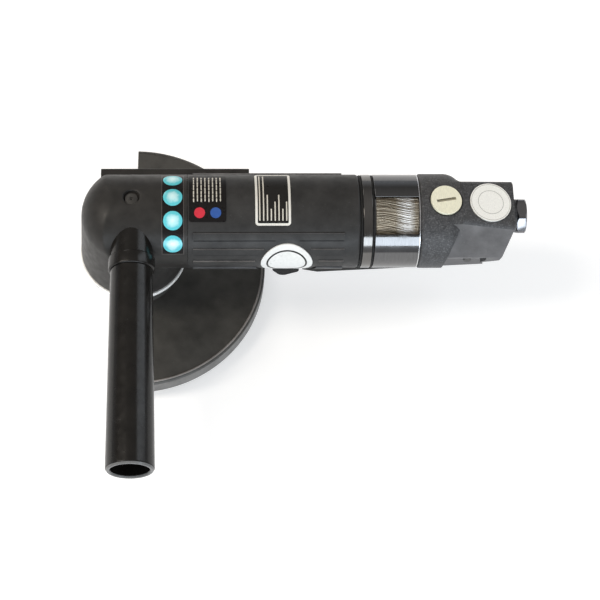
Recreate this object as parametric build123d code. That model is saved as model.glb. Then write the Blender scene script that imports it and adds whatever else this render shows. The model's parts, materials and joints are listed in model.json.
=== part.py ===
from build123d import *
import math
import os

# Air angle grinder: bevel gear head, vane motor in a ribbed grip, turning exhaust sleeve,
# lever throttle with a lock tab, half wheel guard and a screwed-on side handle.
# Millimetres. Origin on the spindle axis at the wheel seat, +X towards the air inlet,
# +Z along the spindle away from the wheel, side handle towards -Y.

# Clearances
RUN = 0.05  # radial gap of a running fit
GAP = 0.3  # gap between parts that move past each other
BALL_GAP = 0.08  # gap between a ball and its grooves
BACKLASH = 0.16  # taken off each tooth at the pitch circle

# Body of the tool
AXIS_Z = 52.0  # motor axis above the wheel seat
BODY_R = 23.7  # radius of head barrel, grip and exhaust sleeve
JOINT_X = 28.0  # gear housing meets motor housing
GRIP_END_X = 114.3  # rear face of the motor housing
GRIP_WALL = 3.3
GRIP_END_ROUND = 1.6  # rounding of the grip's rear edge

# Gear housing
HEAD_R = 27.1  # head radius at its underside
HEAD_BASE_Z = 19.4
HEAD_LIP_H = 4.0  # upright edge above the underside
HEAD_TAPER = 1.6  # the head narrows this much up to the dome
HEAD_ROOF = 7.2  # metal above the upper bearing
HEAD_DOME_START = 6.0  # dome begins this far above the motor axis
CHAMBER_R = 20.3  # room for the crown gear
CHAMBER_TOP = 2.0  # above the motor axis
UPPER_SHOULDER = 2.0  # ledge under the upper bearing
PINION_BORE_R = 11.0
SPIGOT_LEN = 5.0  # gear housing spigot inside the motor housing
SPIGOT_BORE_R = 12.0

# Bearing retainer under the head
RETAINER_LIP = 0.5  # stands out beyond the head
RETAINER_T = 2.5
NECK_R = 18.6
NECK_H = 10.0
RETAINER_SPIGOT_R = 21.5
RETAINER_TOP_Z = 36.5
NECK_BORE_R = 10.2
SEAL_R = 15.0
SEAL_T = 5.8
RETAINER_SCREW_R = 1.6
RETAINER_SCREW_HEAD_R = 2.7
RETAINER_SCREW_HEAD_H = 2.4
RETAINER_SCREW_LEN = 10.0

# Bearings: bore diameter, outside diameter, width, balls
LOWER_BEARING = (15.0, 35.0, 11.0, 8)
UPPER_BEARING = (8.0, 22.0, 7.0, 7)
FRONT_BEARING = (12.0, 28.0, 8.0, 8)
REAR_BEARING = (10.0, 26.0, 8.0, 7)
LOWER_BEARING_Z = 24.0
CIRCLIP_T = 1.0
CIRCLIP_DEPTH = 0.8

# Bevel gears, apex where spindle axis and motor axis cross
GEAR_TEETH = 29
PINION_TEETH = 13
GEAR_PITCH_R = 18.0
FACE_WIDTH = 6.0
PRESSURE_ANGLE = math.radians(25.0)
GEAR_ADDENDUM = 0.75  # in modules
PINION_ADDENDUM = 1.15
TIP_CLEARANCE = 0.2
GEAR_HUB_R = 10.0
GEAR_HUB_TOP = 4.0  # below the motor axis
GEAR_BACK = 14.5
GEAR_SPACER_T = 3.0  # collar of the crown gear on the bearing's inner race
PINION_HUB_R = 6.8
KEY_W = 3.0
KEY_LEN = 9.0

# Spindle
NOSE_R = 7.0  # M14 thread, major radius
NOSE_LEN = 14.0
FLANGE_SEAT_R = 8.0
SPINDLE_R = 9.5
SPINDLE_TOP_R = 5.5
FLANGE_R = 18.0
FLANGE_T = 5.0
PILOT_R = 11.1
PILOT_H = 3.0
FLANGE_BEVEL = 4.0
FLANGE_RELIEF_W = 3.0  # groove round the pilot, so that the wheel sits on the rim
FLANGE_RELIEF_D = 0.8

# Wheel guard
GUARD_R = 69.0
GUARD_T = 2.0
GUARD_TOP_Z = 1.0
GUARD_RIM_H = 10.0
GUARD_SPAN = 177.5
GUARD_EDGE_R = 1.4
GUARD_CUP_Z = 7.6  # top of the raised hub round the collar
COLLAR_T = 2.4
COLLAR_LOW_Z = 5.4
COLLAR_TOP_Z = 14.2
CLAMP_ANGLE = 135.0
CLAMP_SLOT = 3.0
CLAMP_EAR_T = 3.4
CLAMP_EAR_OUT = 9.5
CLAMP_EAR_H = 8.2
CLAMP_EAR_Z = 5.6
CLAMP_EAR_ROOT = 0.5  # ears begin this far outside the collar's bore
CLAMP_SCREW_OUT = 1.2  # screw axis outside the middle of the ears
CLAMP_SCREW_R = 2.5
CLAMP_HEAD_R = 4.2
CLAMP_HEAD_H = 5.0

# Vane motor
END_PLATE_WEB = 2.0
CYLINDER_LEN = 50.0
CYLINDER_WALL = 3.6  # mean wall round the bore
CYLINDER_OFFSET = 2.0  # bore centre above the rotor axis
ROTOR_GAP = 0.3  # rotor to cylinder where they come closest
ROTOR_END_GAP = 0.15
VANE_COUNT = 4
VANE_T = 2.0
VANE_DEPTH = 7.8
VANE_SIDE_GAP = 0.1
ROTOR_NOSE_R = 4.5
PINION_SOCKET_LEN = 11.0
EXHAUST_GROOVE_W = 16.0
EXHAUST_GROOVE_D = 2.0
EXHAUST_SLOTS = 5
EXHAUST_SLOT_W = 3.0

# Exhaust section
CORE_GAP = 0.8  # metal between the core tube and the air holes
CORE_BORE_R = 7.0
RING_W = 4.6  # bright spacer ring
SLEEVE_WALL = 1.5
SLEEVE_LEN = 22.8
O_RING_R = 0.6
O_RING_SEAT = 1.3  # width of an O-ring seat
SLEEVE_LAND = 0.6  # the sleeve runs on this much at each end
WINDOW_FROM = -4.4  # degrees about the motor axis from +Z towards -Y
WINDOW_TO = 43.6
AIR_HOLES = 8
AIR_HOLE_R = 2.2
AIR_HOLE_WALL = 0.2  # metal outside the air holes

# Valve housing
VALVE_FLANGE_LIP = 0.3  # stands out beyond the sleeve
VALVE_FLANGE_ROUND = 0.8
VALVE_ROUND_LEN = 13.0
VALVE_TAPER_LEN = 12.5
VALVE_TAPER_R = 19.6
NEAR_END_X = 167.0  # round part ends here on the axis, in a slanted plane towards the handle's side
NEAR_END_LEAN_Y = 0.39
NEAR_END_LEAN_Z = 0.142
BLOCK_SHOULDER_Y = 21.0  # half width at the shoulder
BLOCK_SHOULDER_Z = 0.8
BLOCK_TOP_Y = 10.4
BLOCK_TOP_Z = 24.0
BLOCK_SIDE_DROP = 3.8
BLOCK_BASE_Y = 13.5
BLOCK_BASE_Z = -20.5
BLOCK_EDGE_R = 4.5  # long edges of the sloping top
BLOCK_FREE_X = 165.4  # in front of this the block stays inside the round part
BLOCK_INSET = 0.4  # by this much
CHEEK_RELIEF = 19.0  # flats that clear the lever's cheeks, from the motor axis
CHEEK_RELIEF_LEAN = 24.7  # degrees below level
CHEEK_RELIEF_X = (159.5, 179.3)
TOP_SLOPE = 7.4  # degrees, falling to the rear
TOP_CUT = 0.5  # top face below the round part at the plug
REAR_X = 187.0  # rear face at the height of the motor axis
REAR_LEAN = 15.5
VALVE_X = 157.3
INLET_Z = 5.6  # above the motor axis
INLET_BOSS_R = 8.4
INLET_BOSS_X = 194.4
INLET_SHANK_R = 6.9
INLET_SHANK_LEN = 15.0
INLET_BORE_R = 5.72  # G1/4 thread, minor radius
INLET_BORE_LEN = 13.0
INLET_WAY_R = 4.9  # air way behind the strainer
INLET_THROAT_R = 4.5  # bush behind its thread
INLET_HEX_BEVEL = 0.8
INLET_HEX = 17.0
INLET_HEX_LEN = 5.0
STRAINER_LEN = 6.0
STRAINER_WALL = 0.6
STRAINER_HOLE_R = 0.8
VALVE_CHAMBER_R = 6.0
VALVE_CHAMBER_TOP = 14.0
CHANNEL_REACH = 15.3  # valve chamber to the far end of the air channel
SEAT_TOP = -4.0
SEAT_T = 4.0
SEAT_BORE_R = 3.2
PLUG_HEAD_R = 7.9
PLUG_HEAD_T = 1.4
PLUG_PROUD = 0.3  # head stands above the top face
PLUG_RING_GAP = 0.7  # open ring round the plug's head
PLUG_RING_D = 1.8
PLUG_THREAD_R = 6.8
PLUG_SLOT_W = 1.4
PLUG_SLOT_L = 10.0
PLUG_SLOT_D = 0.9
PLUG_SLOT_ANGLE = 12.5
STEM_R = 2.4
POPPET_R = 4.5
POPPET_T = 3.0
POPPET_GAP = 0.1  # poppet above its seat at rest
SPRING_PIN_R = 1.6
SPRING_PIN_H = 4.0
BUSH_R = 4.5
BUSH_LEN = 7.0
SPRING_R = 3.2
SPRING_WIRE_R = 0.5
SPRING_TURNS = 6
SPRING_END_GAP = 0.6  # spring to the plug

# Throttle lever and its lock
PIVOT_X = 174.0
PIVOT_DROP = 29.0  # pivot below the motor axis
PIVOT_R = 2.0
LEVER_OPEN = 7.3  # degrees the front hangs down at rest
LEVER_W = 16.0  # at its rear end
LEVER_FRONT_W = 14.0
LEVER_T = 1.8
LEVER_BACK = 8.0
LEVER_DEPTH = 6.3  # underside below the pivot line
LEVER_RISE = 4.0  # cheeks above the pivot line
LEVER_NOSE = 4.0  # cheeks in front of the tab pin
LUG_R = 4.2
LUG_W = 11.4
TAB_REACH = 82.7  # tab pin in front of the pivot
TAB_PIN_R = 1.5
TAB_W = 5.6
TAB_PADDLE_W = 16.0
TAB_BOSS_R = 4.0
TAB_FOOT_X = -15.0  # foot in front of the tab pin
TAB_FOOT_GAP = 0.5  # foot below the grip
TAB_FOOT_R = 1.6
TAB_NOSE = (-16.0, -0.8)  # seen from the tab pin, along X and Z
TAB_NOSE_R = 3.6
TAB_LOBE = (-13.8, -4.4)
TAB_LOBE_R = 3.4
TAB_HEEL = (-8.2, -2.0)
TAB_HEEL_R = 2.6
TAB_SPRING_WIRE_R = 0.25
TAB_SPRING_TURNS = 2.5
TAB_SPRING_GAP = 0.2  # spring to the parts round it
LEVER_PIN_PROUD = 0.4

# Side handle
HANDLE_RISE = 9.0  # handle axis above the motor axis
HANDLE_COLLAR_R = 11.25
HANDLE_COLLAR_END = 32.2  # distance from the spindle axis
HANDLE_GROOVE = 6.5  # groove in front of the collar's end
HANDLE_GROOVE_W = 0.7
HANDLE_GROOVE_D = 0.35
HANDLE_COLLAR_BEVEL = 0.6
HANDLE_END = 137.0
HANDLE_ROOT_R = 10.5
HANDLE_END_R = 11.9
HANDLE_BORE_R = 9.4
HANDLE_WEB = 10.0
HANDLE_BOLT_R = 4.0
HANDLE_BOLT_HOLE_R = 4.1
HANDLE_BOLT_TIP = 13.0
HANDLE_HEAD_R = 6.5
HANDLE_HEAD_H = 8.0
HANDLE_SOCKET = 6.0

# Grip ribs, angles about the motor axis from +Z towards -Y
RIB_FIRST = 45.6
RIB_PITCH = 21.0
RIB_COUNT = 4
RIB_ANGLE = 8.6
RIB_H = 0.7
RIB_START_X = 30.5
RIB_END_X = 106.2
RIB_BADGE_R = 16.2  # ribs stop this far from the badge centre

# Side rest on the far side of the head
REST_START_X = -16.0
REST_END_X = 59.4
REST_PROUD = 3.8  # stands out beyond the body
REST_LOW = -8.0
REST_HIGH = 5.8
REST_DEPTH = 7.5
REST_EDGE_R = 1.0

# Plates and badges
PLATE_T = 0.4
DOT_R = 4.77
DOT_X = 20.5
DOT_ANGLES = (-33.2, -3.7, 25.9, 55.4)
NAME_PLATE = (61.5, 79.2, -47.5, 32.0)
SIDE_LABEL = (28.6, 47.0, -43.3, 27.6)
SIDE_BADGE_R = 13.0
SIDE_BADGE_X = 77.6
SIDE_BADGE_ANGLE = 88.0
REAR_BADGE_R = 10.6
REAR_BADGE_X = 180.0
REAR_BADGE_T = 0.9
REAR_BADGE_SINK = 0.6  # depth of its round pocket
REAR_BADGE_GAP = 0.5

# Grease nipple in the top of the head
NIPPLE_Y = 2.0
NIPPLE_RECESS_R = 4.0
NIPPLE_RECESS_D = 3.2
NIPPLE_R = 2.6
NIPPLE_H = 2.2
NIPPLE_SHANK_R = 1.6
NIPPLE_SHANK_LEN = 3.0

# Sizes and places that follow from those above
BORE_R = BODY_R - GRIP_WALL
CYLINDER_BORE_R = BORE_R - CYLINDER_WALL
ROTOR_R = CYLINDER_BORE_R - CYLINDER_OFFSET - ROTOR_GAP
AIR_HOLE_PCD = 2 * (BORE_R - AIR_HOLE_R - AIR_HOLE_WALL)
CORE_R = AIR_HOLE_PCD / 2 - AIR_HOLE_R - CORE_GAP
HEAD_SHOULDER_R = HEAD_R - HEAD_TAPER
RETAINER_R = HEAD_R + RETAINER_LIP
RETAINER_SCREW_PCD = RETAINER_SPIGOT_R + HEAD_R
UPPER_BEARING_Z = AXIS_Z + BODY_R - HEAD_ROOF - UPPER_BEARING[2]
VALVE_FLANGE_R = BODY_R + VALVE_FLANGE_LIP
TOP_AT_PLUG = VALVE_FLANGE_R - TOP_CUT
REST_Y = BODY_R + REST_PROUD
RETAINER_Z = HEAD_BASE_Z - RETAINER_T
NECK_Z = RETAINER_Z - NECK_H
HEAD_FRONT_PLATE_X = JOINT_X + SPIGOT_LEN
FRONT_BEARING_X = HEAD_FRONT_PLATE_X
CYLINDER_X = FRONT_BEARING_X + FRONT_BEARING[2] + END_PLATE_WEB
CYLINDER_END_X = CYLINDER_X + CYLINDER_LEN
REAR_BEARING_X = CYLINDER_END_X + END_PLATE_WEB
NECK_X = REAR_BEARING_X + REAR_BEARING[2] + 1.0
RING_X = GRIP_END_X + O_RING_SEAT
RING_END_X = RING_X + RING_W
SLEEVE_X = RING_END_X + O_RING_SEAT
SLEEVE_END_X = SLEEVE_X + SLEEVE_LEN
SLEEVE_BORE_R = BODY_R - SLEEVE_WALL
CARRIER_R = SLEEVE_BORE_R - RUN
VALVE_FLANGE_X = SLEEVE_END_X + GAP
TAPER_X = VALVE_FLANGE_X + VALVE_ROUND_LEN
PIVOT_Z = AXIS_Z - PIVOT_DROP
INLET_AXIS_Z = AXIS_Z + INLET_Z
HANDLE_Z = AXIS_Z + HANDLE_RISE
CONE_GEAR = math.atan2(GEAR_TEETH, PINION_TEETH)
CONE_PINION = math.pi / 2 - CONE_GEAR
CONE_DISTANCE = GEAR_PITCH_R / math.sin(CONE_GEAR)
MODULE = 2 * GEAR_PITCH_R / GEAR_TEETH
MOTOR_AXIS = Axis((0, 0, AXIS_Z), (1, 0, 0))
FAR = 300.0  # longer than the tool


def cyl_x(radius, x0, x1, y=0.0, z=AXIS_Z):
    """Cylinder along X."""
    return Pos((x0 + x1) / 2, y, z) * Rot(0, 90, 0) * Cylinder(radius, x1 - x0)


def cyl_y(radius, y0, y1, x=0.0, z=AXIS_Z):
    """Cylinder along Y."""
    return Pos(x, (y0 + y1) / 2, z) * Rot(90, 0, 0) * Cylinder(radius, y1 - y0)


def cyl_z(radius, z0, z1, x=0.0, y=0.0):
    """Cylinder along Z."""
    return Pos(x, y, (z0 + z1) / 2) * Cylinder(radius, z1 - z0)


def block(x0, x1, y0, y1, z0, z1):
    """Box between two corners."""
    middle = Pos((x0 + x1) / 2, (y0 + y1) / 2, (z0 + z1) / 2)
    return middle * Box(x1 - x0, y1 - y0, z1 - z0)


def plate_xz(points, half_width):
    """Outline in the XZ plane, spread evenly to both sides along Y."""
    outline = Polyline(*[(x, 0, z) for x, z in points], close=True)
    return extrude(make_face(outline), amount=half_width, both=True)


def turned_z(points):
    """Turned part about the spindle axis from (radius, z) points."""
    outline = Polyline(*[(r, 0, z) for r, z in points], close=True)
    return revolve(make_face(outline), Axis.Z)


def turned_x(points, axis_z=AXIS_Z):
    """Turned part about a line along X from (x, radius) points."""
    outline = Polyline(*[(x, 0, axis_z + r) for x, r in points], close=True)
    return revolve(make_face(outline), Axis((0, 0, axis_z), (1, 0, 0)))


def about_motor(part, degrees):
    """Turn about the motor axis, from +Z towards -Y."""
    return part.rotate(MOTOR_AXIS, degrees)


def band(x0, x1, radius, height, start, end):
    """Curved strip on a cylinder about the motor axis between two angles."""
    corners = [(x0, radius), (x1, radius), (x1, radius + height), (x0, radius + height)]
    outline = Polyline(*[(x, 0, AXIS_Z + r) for x, r in corners], close=True)
    strip = revolve(make_face(outline), MOTOR_AXIS, revolution_arc=end - start)
    return about_motor(strip, start)


def round_patch(radius, x, angle, surface_r, height):
    """Round plate of a given radius wrapped on a cylinder about the motor axis."""
    ring = cyl_x(surface_r + height, x - radius - 1, x + radius + 1)
    ring -= cyl_x(surface_r, x - radius - 2, x + radius + 2)
    punch = cyl_z(radius, AXIS_Z, AXIS_Z + surface_r + 2 * height, x)
    return ring & about_motor(punch, angle)


def ring_of(part, count, axis):
    """Copies of a part spaced evenly about an axis."""
    return [part.rotate(axis, 360 * i / count) for i in range(count)]


# Bevel gears


def involute(angle):
    return math.tan(angle) - angle


def tooth_flank(teeth, cone, addendum, dedendum, steps=4):
    """Half a tooth as (cone angle, azimuth) pairs from root to tip."""
    pitch = CONE_DISTANCE * math.tan(cone)
    base = pitch * math.cos(PRESSURE_ANGLE)
    half = math.pi * MODULE / 4 - BACKLASH / 2
    low = max(base, pitch - dedendum)
    flank = []
    for i in range(steps + 1):
        rho = low + (pitch + addendum - low) * i / steps
        turn = half / pitch + involute(PRESSURE_ANGLE) - involute(math.acos(min(1.0, base / rho)))
        flank.append((cone + math.atan2(rho - pitch, CONE_DISTANCE), turn / math.cos(cone)))
    root = cone - math.atan2(dedendum, CONE_DISTANCE)
    if root < flank[0][0] - 1e-6:
        flank.insert(0, (root, flank[0][1]))
    return flank


def tooth_cone(teeth, cone, addendum, dedendum, phase):
    """All teeth as a cone about +Z with its tip at the origin, in mesh at the given phase."""
    flank = tooth_flank(teeth, cone, addendum, dedendum)
    outline = []
    for i in range(teeth):
        middle = 2 * math.pi * i / teeth + phase
        outline += [(a, middle - t) for a, t in flank]
        outline += [(a, middle + t) for a, t in reversed(flank)]
    sections = []
    for reach in (0.4, 1.5):
        height = CONE_DISTANCE * math.cos(cone) * reach
        points = [
            (height * math.tan(a) * math.cos(t), height * math.tan(a) * math.sin(t), height)
            for a, t in outline
        ]
        sections.append(make_face(Polyline(*points, close=True)))
    return loft(sections, ruled=True)


def cone_point(cone, distance, offset):
    """(radius, height) at a cone distance, moved square to the pitch cone, tip side positive."""
    radius = distance * math.sin(cone) + offset * math.cos(cone)
    height = distance * math.cos(cone) - offset * math.sin(cone)
    return radius, height


def bevel_teeth(teeth, cone, addendum, dedendum, phase, rim):
    """Toothed ring about +Z, apex at the origin, with some rim under the roots."""
    toe = CONE_DISTANCE - FACE_WIDTH
    toe_share = toe / CONE_DISTANCE
    over = addendum + 1.0
    ring = turned_z([
        cone_point(cone, toe, -dedendum * toe_share - rim),
        cone_point(cone, toe, over),
        cone_point(cone, CONE_DISTANCE, over),
        cone_point(cone, CONE_DISTANCE, -dedendum - rim),
    ])
    return tooth_cone(teeth, cone, addendum, dedendum, phase) & ring


GEAR_ADD = GEAR_ADDENDUM * MODULE
PINION_ADD = PINION_ADDENDUM * MODULE
GEAR_DED = PINION_ADD + TIP_CLEARANCE * MODULE
PINION_DED = GEAR_ADD + TIP_CLEARANCE * MODULE
GEAR_RIM = 2.0
PINION_RIM = 1.2


def crown_gear():
    teeth = bevel_teeth(GEAR_TEETH, CONE_GEAR, GEAR_ADD, GEAR_DED, math.pi / GEAR_TEETH, GEAR_RIM)
    toe = CONE_DISTANCE - FACE_WIDTH
    toe_ded = GEAR_DED * toe / CONE_DISTANCE
    bore = LOWER_BEARING[0] / 2
    race_r = bore + GEAR_SPACER_T
    seat = AXIS_Z - LOWER_BEARING_Z - LOWER_BEARING[2]
    heel_r, heel_h = cone_point(CONE_GEAR, CONE_DISTANCE, -GEAR_DED - GEAR_RIM / 2)
    hub = turned_z([
        (bore, GEAR_HUB_TOP),
        (GEAR_HUB_R, GEAR_HUB_TOP),
        cone_point(CONE_GEAR, toe, -toe_ded - GEAR_RIM / 2),
        (heel_r, heel_h),
        (heel_r - 1.0, GEAR_BACK),
        (race_r, GEAR_BACK),
        (race_r, seat),
        (bore, seat),
    ])
    gear = Pos(0, 0, AXIS_Z) * Rot(180, 0, 0) * (teeth + hub)
    return gear - key_block()


def pinion():
    teeth = bevel_teeth(PINION_TEETH, CONE_PINION, PINION_ADD, PINION_DED, 0.0, PINION_RIM)
    toe = CONE_DISTANCE - FACE_WIDTH
    toe_ded = PINION_DED * toe / CONE_DISTANCE
    toe_r, toe_h = cone_point(CONE_PINION, toe, -toe_ded - PINION_RIM / 2)
    heel_r, heel_h = cone_point(CONE_PINION, CONE_DISTANCE, -PINION_DED - PINION_RIM / 2)
    hub = turned_z([
        (0, toe_h),
        (toe_r, toe_h),
        (heel_r, heel_h),
        (PINION_HUB_R, heel_h + 1.0),
        (PINION_HUB_R, FRONT_BEARING_X),
        (0, FRONT_BEARING_X),
    ])
    socket = cyl_z(ROTOR_NOSE_R, FRONT_BEARING_X - PINION_SOCKET_LEN, FRONT_BEARING_X + 1)
    # The tooth in mesh points down, towards the crown gear.
    return Pos(0, 0, AXIS_Z) * Rot(0, 90, 0) * (teeth + hub - socket)


# Bearings


def ball_bearing(size):
    """Outer race, inner race and caged balls about +Z, standing on z = 0."""
    bore, outside, width, balls = size
    section = (outside - bore) / 2
    pitch_r = (outside + bore) / 4
    ball_r = section * 0.28
    land = section * 0.2
    groove = Pos(0, 0, width / 2) * Torus(pitch_r, ball_r + BALL_GAP)
    outer = cyl_z(outside / 2, 0, width) - cyl_z(pitch_r + land, -1, width + 1) - groove
    inner = cyl_z(pitch_r - land, 0, width) - cyl_z(bore / 2, -1, width + 1) - groove
    cage_t = land * 0.5
    cage_h = ball_r * 1.3
    cage = cyl_z(pitch_r + cage_t, (width - cage_h) / 2, (width + cage_h) / 2)
    cage -= cyl_z(pitch_r - cage_t, 0, width)
    ball = Pos(pitch_r, 0, width / 2) * Sphere(ball_r)
    for copy in ring_of(ball, balls, Axis.Z):
        cage += copy
    return outer, inner, cage


def bearing_nodes(name, size, place):
    outer, inner, cage = ball_bearing(size)
    return {
        name + "_bearing_outer": place * outer,
        name + "_bearing_inner": place * inner,
        name + "_bearing_balls": place * cage,
    }


def all_bearings():
    along_x = Rot(0, 90, 0)
    nodes = {}
    nodes.update(bearing_nodes("lower", LOWER_BEARING, Pos(0, 0, LOWER_BEARING_Z)))
    nodes.update(bearing_nodes("upper", UPPER_BEARING, Pos(0, 0, UPPER_BEARING_Z)))
    nodes.update(bearing_nodes("front", FRONT_BEARING, Pos(FRONT_BEARING_X, 0, AXIS_Z) * along_x))
    nodes.update(bearing_nodes("rear", REAR_BEARING, Pos(REAR_BEARING_X, 0, AXIS_Z) * along_x))
    return nodes


# Gear head


def head_shape():
    """Outside of the gear housing as a solid."""
    dome_r = BODY_R - HEAD_DOME_START
    dome_z = AXIS_Z + HEAD_DOME_START
    edge = Polyline(
        (0, 0, AXIS_Z + BODY_R),
        (0, 0, HEAD_BASE_Z),
        (HEAD_R, 0, HEAD_BASE_Z),
        (HEAD_R, 0, HEAD_BASE_Z + HEAD_LIP_H),
        (HEAD_SHOULDER_R, 0, dome_z),
    )
    top_r = HEAD_SHOULDER_R - dome_r
    lean = dome_r * math.sqrt(0.5)
    dome = ThreePointArc(
        (HEAD_SHOULDER_R, 0, dome_z),
        (top_r + lean, 0, dome_z + lean),
        (top_r, 0, AXIS_Z + BODY_R),
    )
    roof = Line((top_r, 0, AXIS_Z + BODY_R), (0, 0, AXIS_Z + BODY_R))
    bell = revolve(make_face(edge + dome + roof), Axis.Z)
    walls = plate_yz([
        (-BODY_R, AXIS_Z),
        (BODY_R, AXIS_Z),
        (HEAD_R + 1, HEAD_BASE_Z),
        (-HEAD_R - 1, HEAD_BASE_Z),
    ], -HEAD_R - 1, HEAD_R + 1)
    barrel = cyl_x(BODY_R, -HEAD_R - 1, HEAD_R + 1)
    rear = cyl_x(BODY_R, 0, JOINT_X)
    return (bell & (walls + barrel)) + rear


def plate_yz(points, x0, x1):
    """Outline in the YZ plane, extended along X."""
    outline = Polyline(*[(x0, y, z) for y, z in points], close=True)
    return extrude(make_face(outline), amount=x1 - x0, dir=(1, 0, 0))


def gear_housing():
    bearing_r = UPPER_BEARING[1] / 2
    bearing_top = UPPER_BEARING_Z + UPPER_BEARING[2]
    body = head_shape() + cyl_x(BORE_R, JOINT_X - 1, HEAD_FRONT_PLATE_X)
    body -= cyl_z(RETAINER_SPIGOT_R, HEAD_BASE_Z - 1, RETAINER_TOP_Z)
    body -= cyl_z(CHAMBER_R, RETAINER_TOP_Z - 1, AXIS_Z + CHAMBER_TOP)
    body -= cyl_z(bearing_r - UPPER_SHOULDER, AXIS_Z, bearing_top)
    body -= cyl_z(bearing_r, UPPER_BEARING_Z, bearing_top)
    body -= cyl_x(PINION_BORE_R, 0, HEAD_FRONT_PLATE_X + 1)
    body -= cyl_x(SPIGOT_BORE_R, JOINT_X - 2, HEAD_FRONT_PLATE_X + 1)
    body -= handle_bolt_shank()
    for screw in retainer_screw_shanks():
        body -= screw
    return body - nipple_recess() - nipple_shank()


def nipple_recess():
    top = AXIS_Z + BODY_R
    return cyl_z(NIPPLE_RECESS_R, top - NIPPLE_RECESS_D, top + 1, 0, NIPPLE_Y)


def nipple_shank():
    floor = AXIS_Z + BODY_R - NIPPLE_RECESS_D
    return cyl_z(NIPPLE_SHANK_R, floor - NIPPLE_SHANK_LEN, floor, 0, NIPPLE_Y)


def grease_nipple():
    floor = AXIS_Z + BODY_R - NIPPLE_RECESS_D
    head = cyl_z(NIPPLE_R, floor, floor + NIPPLE_H, 0, NIPPLE_Y)
    head = chamfer(head.edges().group_by(Axis.Z)[-1], NIPPLE_R * 0.4)
    return head + nipple_shank()


def retainer_screw_shanks():
    top = HEAD_BASE_Z + RETAINER_SCREW_LEN
    shank = cyl_z(RETAINER_SCREW_R, RETAINER_Z, top, RETAINER_SCREW_PCD / 2)
    return [s.rotate(Axis.Z, 45) for s in ring_of(shank, 4, Axis.Z)]


def retainer_screws():
    head = cyl_z(RETAINER_SCREW_HEAD_R, RETAINER_Z - RETAINER_SCREW_HEAD_H, RETAINER_Z, RETAINER_SCREW_PCD / 2)
    slot = cyl_z(RETAINER_SCREW_R * 0.8, RETAINER_Z - RETAINER_SCREW_HEAD_H - 1,
                 RETAINER_Z - RETAINER_SCREW_HEAD_H / 2, RETAINER_SCREW_PCD / 2)
    heads = [h.rotate(Axis.Z, 45) for h in ring_of(head - slot, 4, Axis.Z)]
    return Compound([h + s for h, s in zip(heads, retainer_screw_shanks())])


def bearing_retainer():
    race_r = LOWER_BEARING[1] / 2
    bearing_top = LOWER_BEARING_Z + LOWER_BEARING[2]
    body = cyl_z(NECK_R, NECK_Z, RETAINER_Z + 1) + cyl_z(RETAINER_R, RETAINER_Z, HEAD_BASE_Z)
    body += cyl_z(RETAINER_SPIGOT_R, HEAD_BASE_Z - 1, RETAINER_TOP_Z)
    body -= cyl_z(NECK_BORE_R, NECK_Z - 1, RETAINER_TOP_Z)
    body -= cyl_z(SEAL_R, LOWER_BEARING_Z - SEAL_T, LOWER_BEARING_Z + 1)
    body -= cyl_z(race_r, LOWER_BEARING_Z, RETAINER_TOP_Z + 1)
    body -= cyl_z(race_r + CIRCLIP_DEPTH, bearing_top, bearing_top + CIRCLIP_T)
    for screw in retainer_screw_shanks():
        body -= screw
    return body


def spindle_seal():
    """Lip seal between the retainer and the spindle."""
    low = LOWER_BEARING_Z - SEAL_T
    lip_r = SPINDLE_R + RUN
    return turned_z([
        (lip_r, low + 1.5),
        (lip_r + 2.0, low),
        (SEAL_R, low),
        (SEAL_R, LOWER_BEARING_Z - GAP),
        (SEAL_R - 1.5, LOWER_BEARING_Z - GAP),
        (SEAL_R - 1.5, low + 1.5),
        (lip_r + 2.0, low + 1.5),
        (lip_r + 1.0, low + 3.0),
        (lip_r, low + 2.5),
    ])


def bearing_circlip():
    low = LOWER_BEARING_Z + LOWER_BEARING[2]
    race_r = LOWER_BEARING[1] / 2
    ring = cyl_z(race_r + CIRCLIP_DEPTH, low, low + CIRCLIP_T)
    ring -= cyl_z(race_r - 1.6, low - 1, low + CIRCLIP_T + 1)
    return ring - block(0, race_r + 2, -3, 3, low - 1, low + CIRCLIP_T + 1)


# Spindle group


def key_block():
    """Key half in the spindle and half in the crown gear."""
    seat = LOWER_BEARING[0] / 2
    low = LOWER_BEARING_Z + LOWER_BEARING[2] + 1.0
    return block(-KEY_W / 2, KEY_W / 2, seat - KEY_W / 2, seat + KEY_W / 2, low, low + KEY_LEN)


def gear_circlip_z():
    return AXIS_Z - GEAR_HUB_TOP


def spindle():
    seat_r = LOWER_BEARING[0] / 2
    top_r = UPPER_BEARING[0] / 2
    clip_z = gear_circlip_z()
    groove_r = seat_r - CIRCLIP_DEPTH
    end_z = UPPER_BEARING_Z + UPPER_BEARING[2]
    shaft = turned_z([
        (0, -NOSE_LEN),
        (NOSE_R - 1.0, -NOSE_LEN),
        (NOSE_R, -NOSE_LEN + 1.0),
        (NOSE_R, -PILOT_H),
        (FLANGE_SEAT_R, -PILOT_H),
        (FLANGE_SEAT_R, FLANGE_T),
        (SPINDLE_R, FLANGE_T),
        (SPINDLE_R, LOWER_BEARING_Z),
        (seat_r, LOWER_BEARING_Z),
        (seat_r, clip_z),
        (groove_r, clip_z),
        (groove_r, clip_z + CIRCLIP_T),
        (seat_r, clip_z + CIRCLIP_T),
        (seat_r, clip_z + CIRCLIP_T + 1.5),
        (SPINDLE_TOP_R, clip_z + CIRCLIP_T + 1.5),
        (SPINDLE_TOP_R, UPPER_BEARING_Z),
        (top_r, UPPER_BEARING_Z),
        (top_r, end_z),
        (0, end_z),
    ])
    return shaft - key_block()


def gear_circlip():
    seat_r = LOWER_BEARING[0] / 2
    low = gear_circlip_z()
    ring = cyl_z(seat_r + 1.6, low, low + CIRCLIP_T)
    ring -= cyl_z(seat_r - CIRCLIP_DEPTH, low - 1, low + CIRCLIP_T + 1)
    return ring - block(0, seat_r + 3, -2, 2, low - 1, low + CIRCLIP_T + 1)


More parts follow.
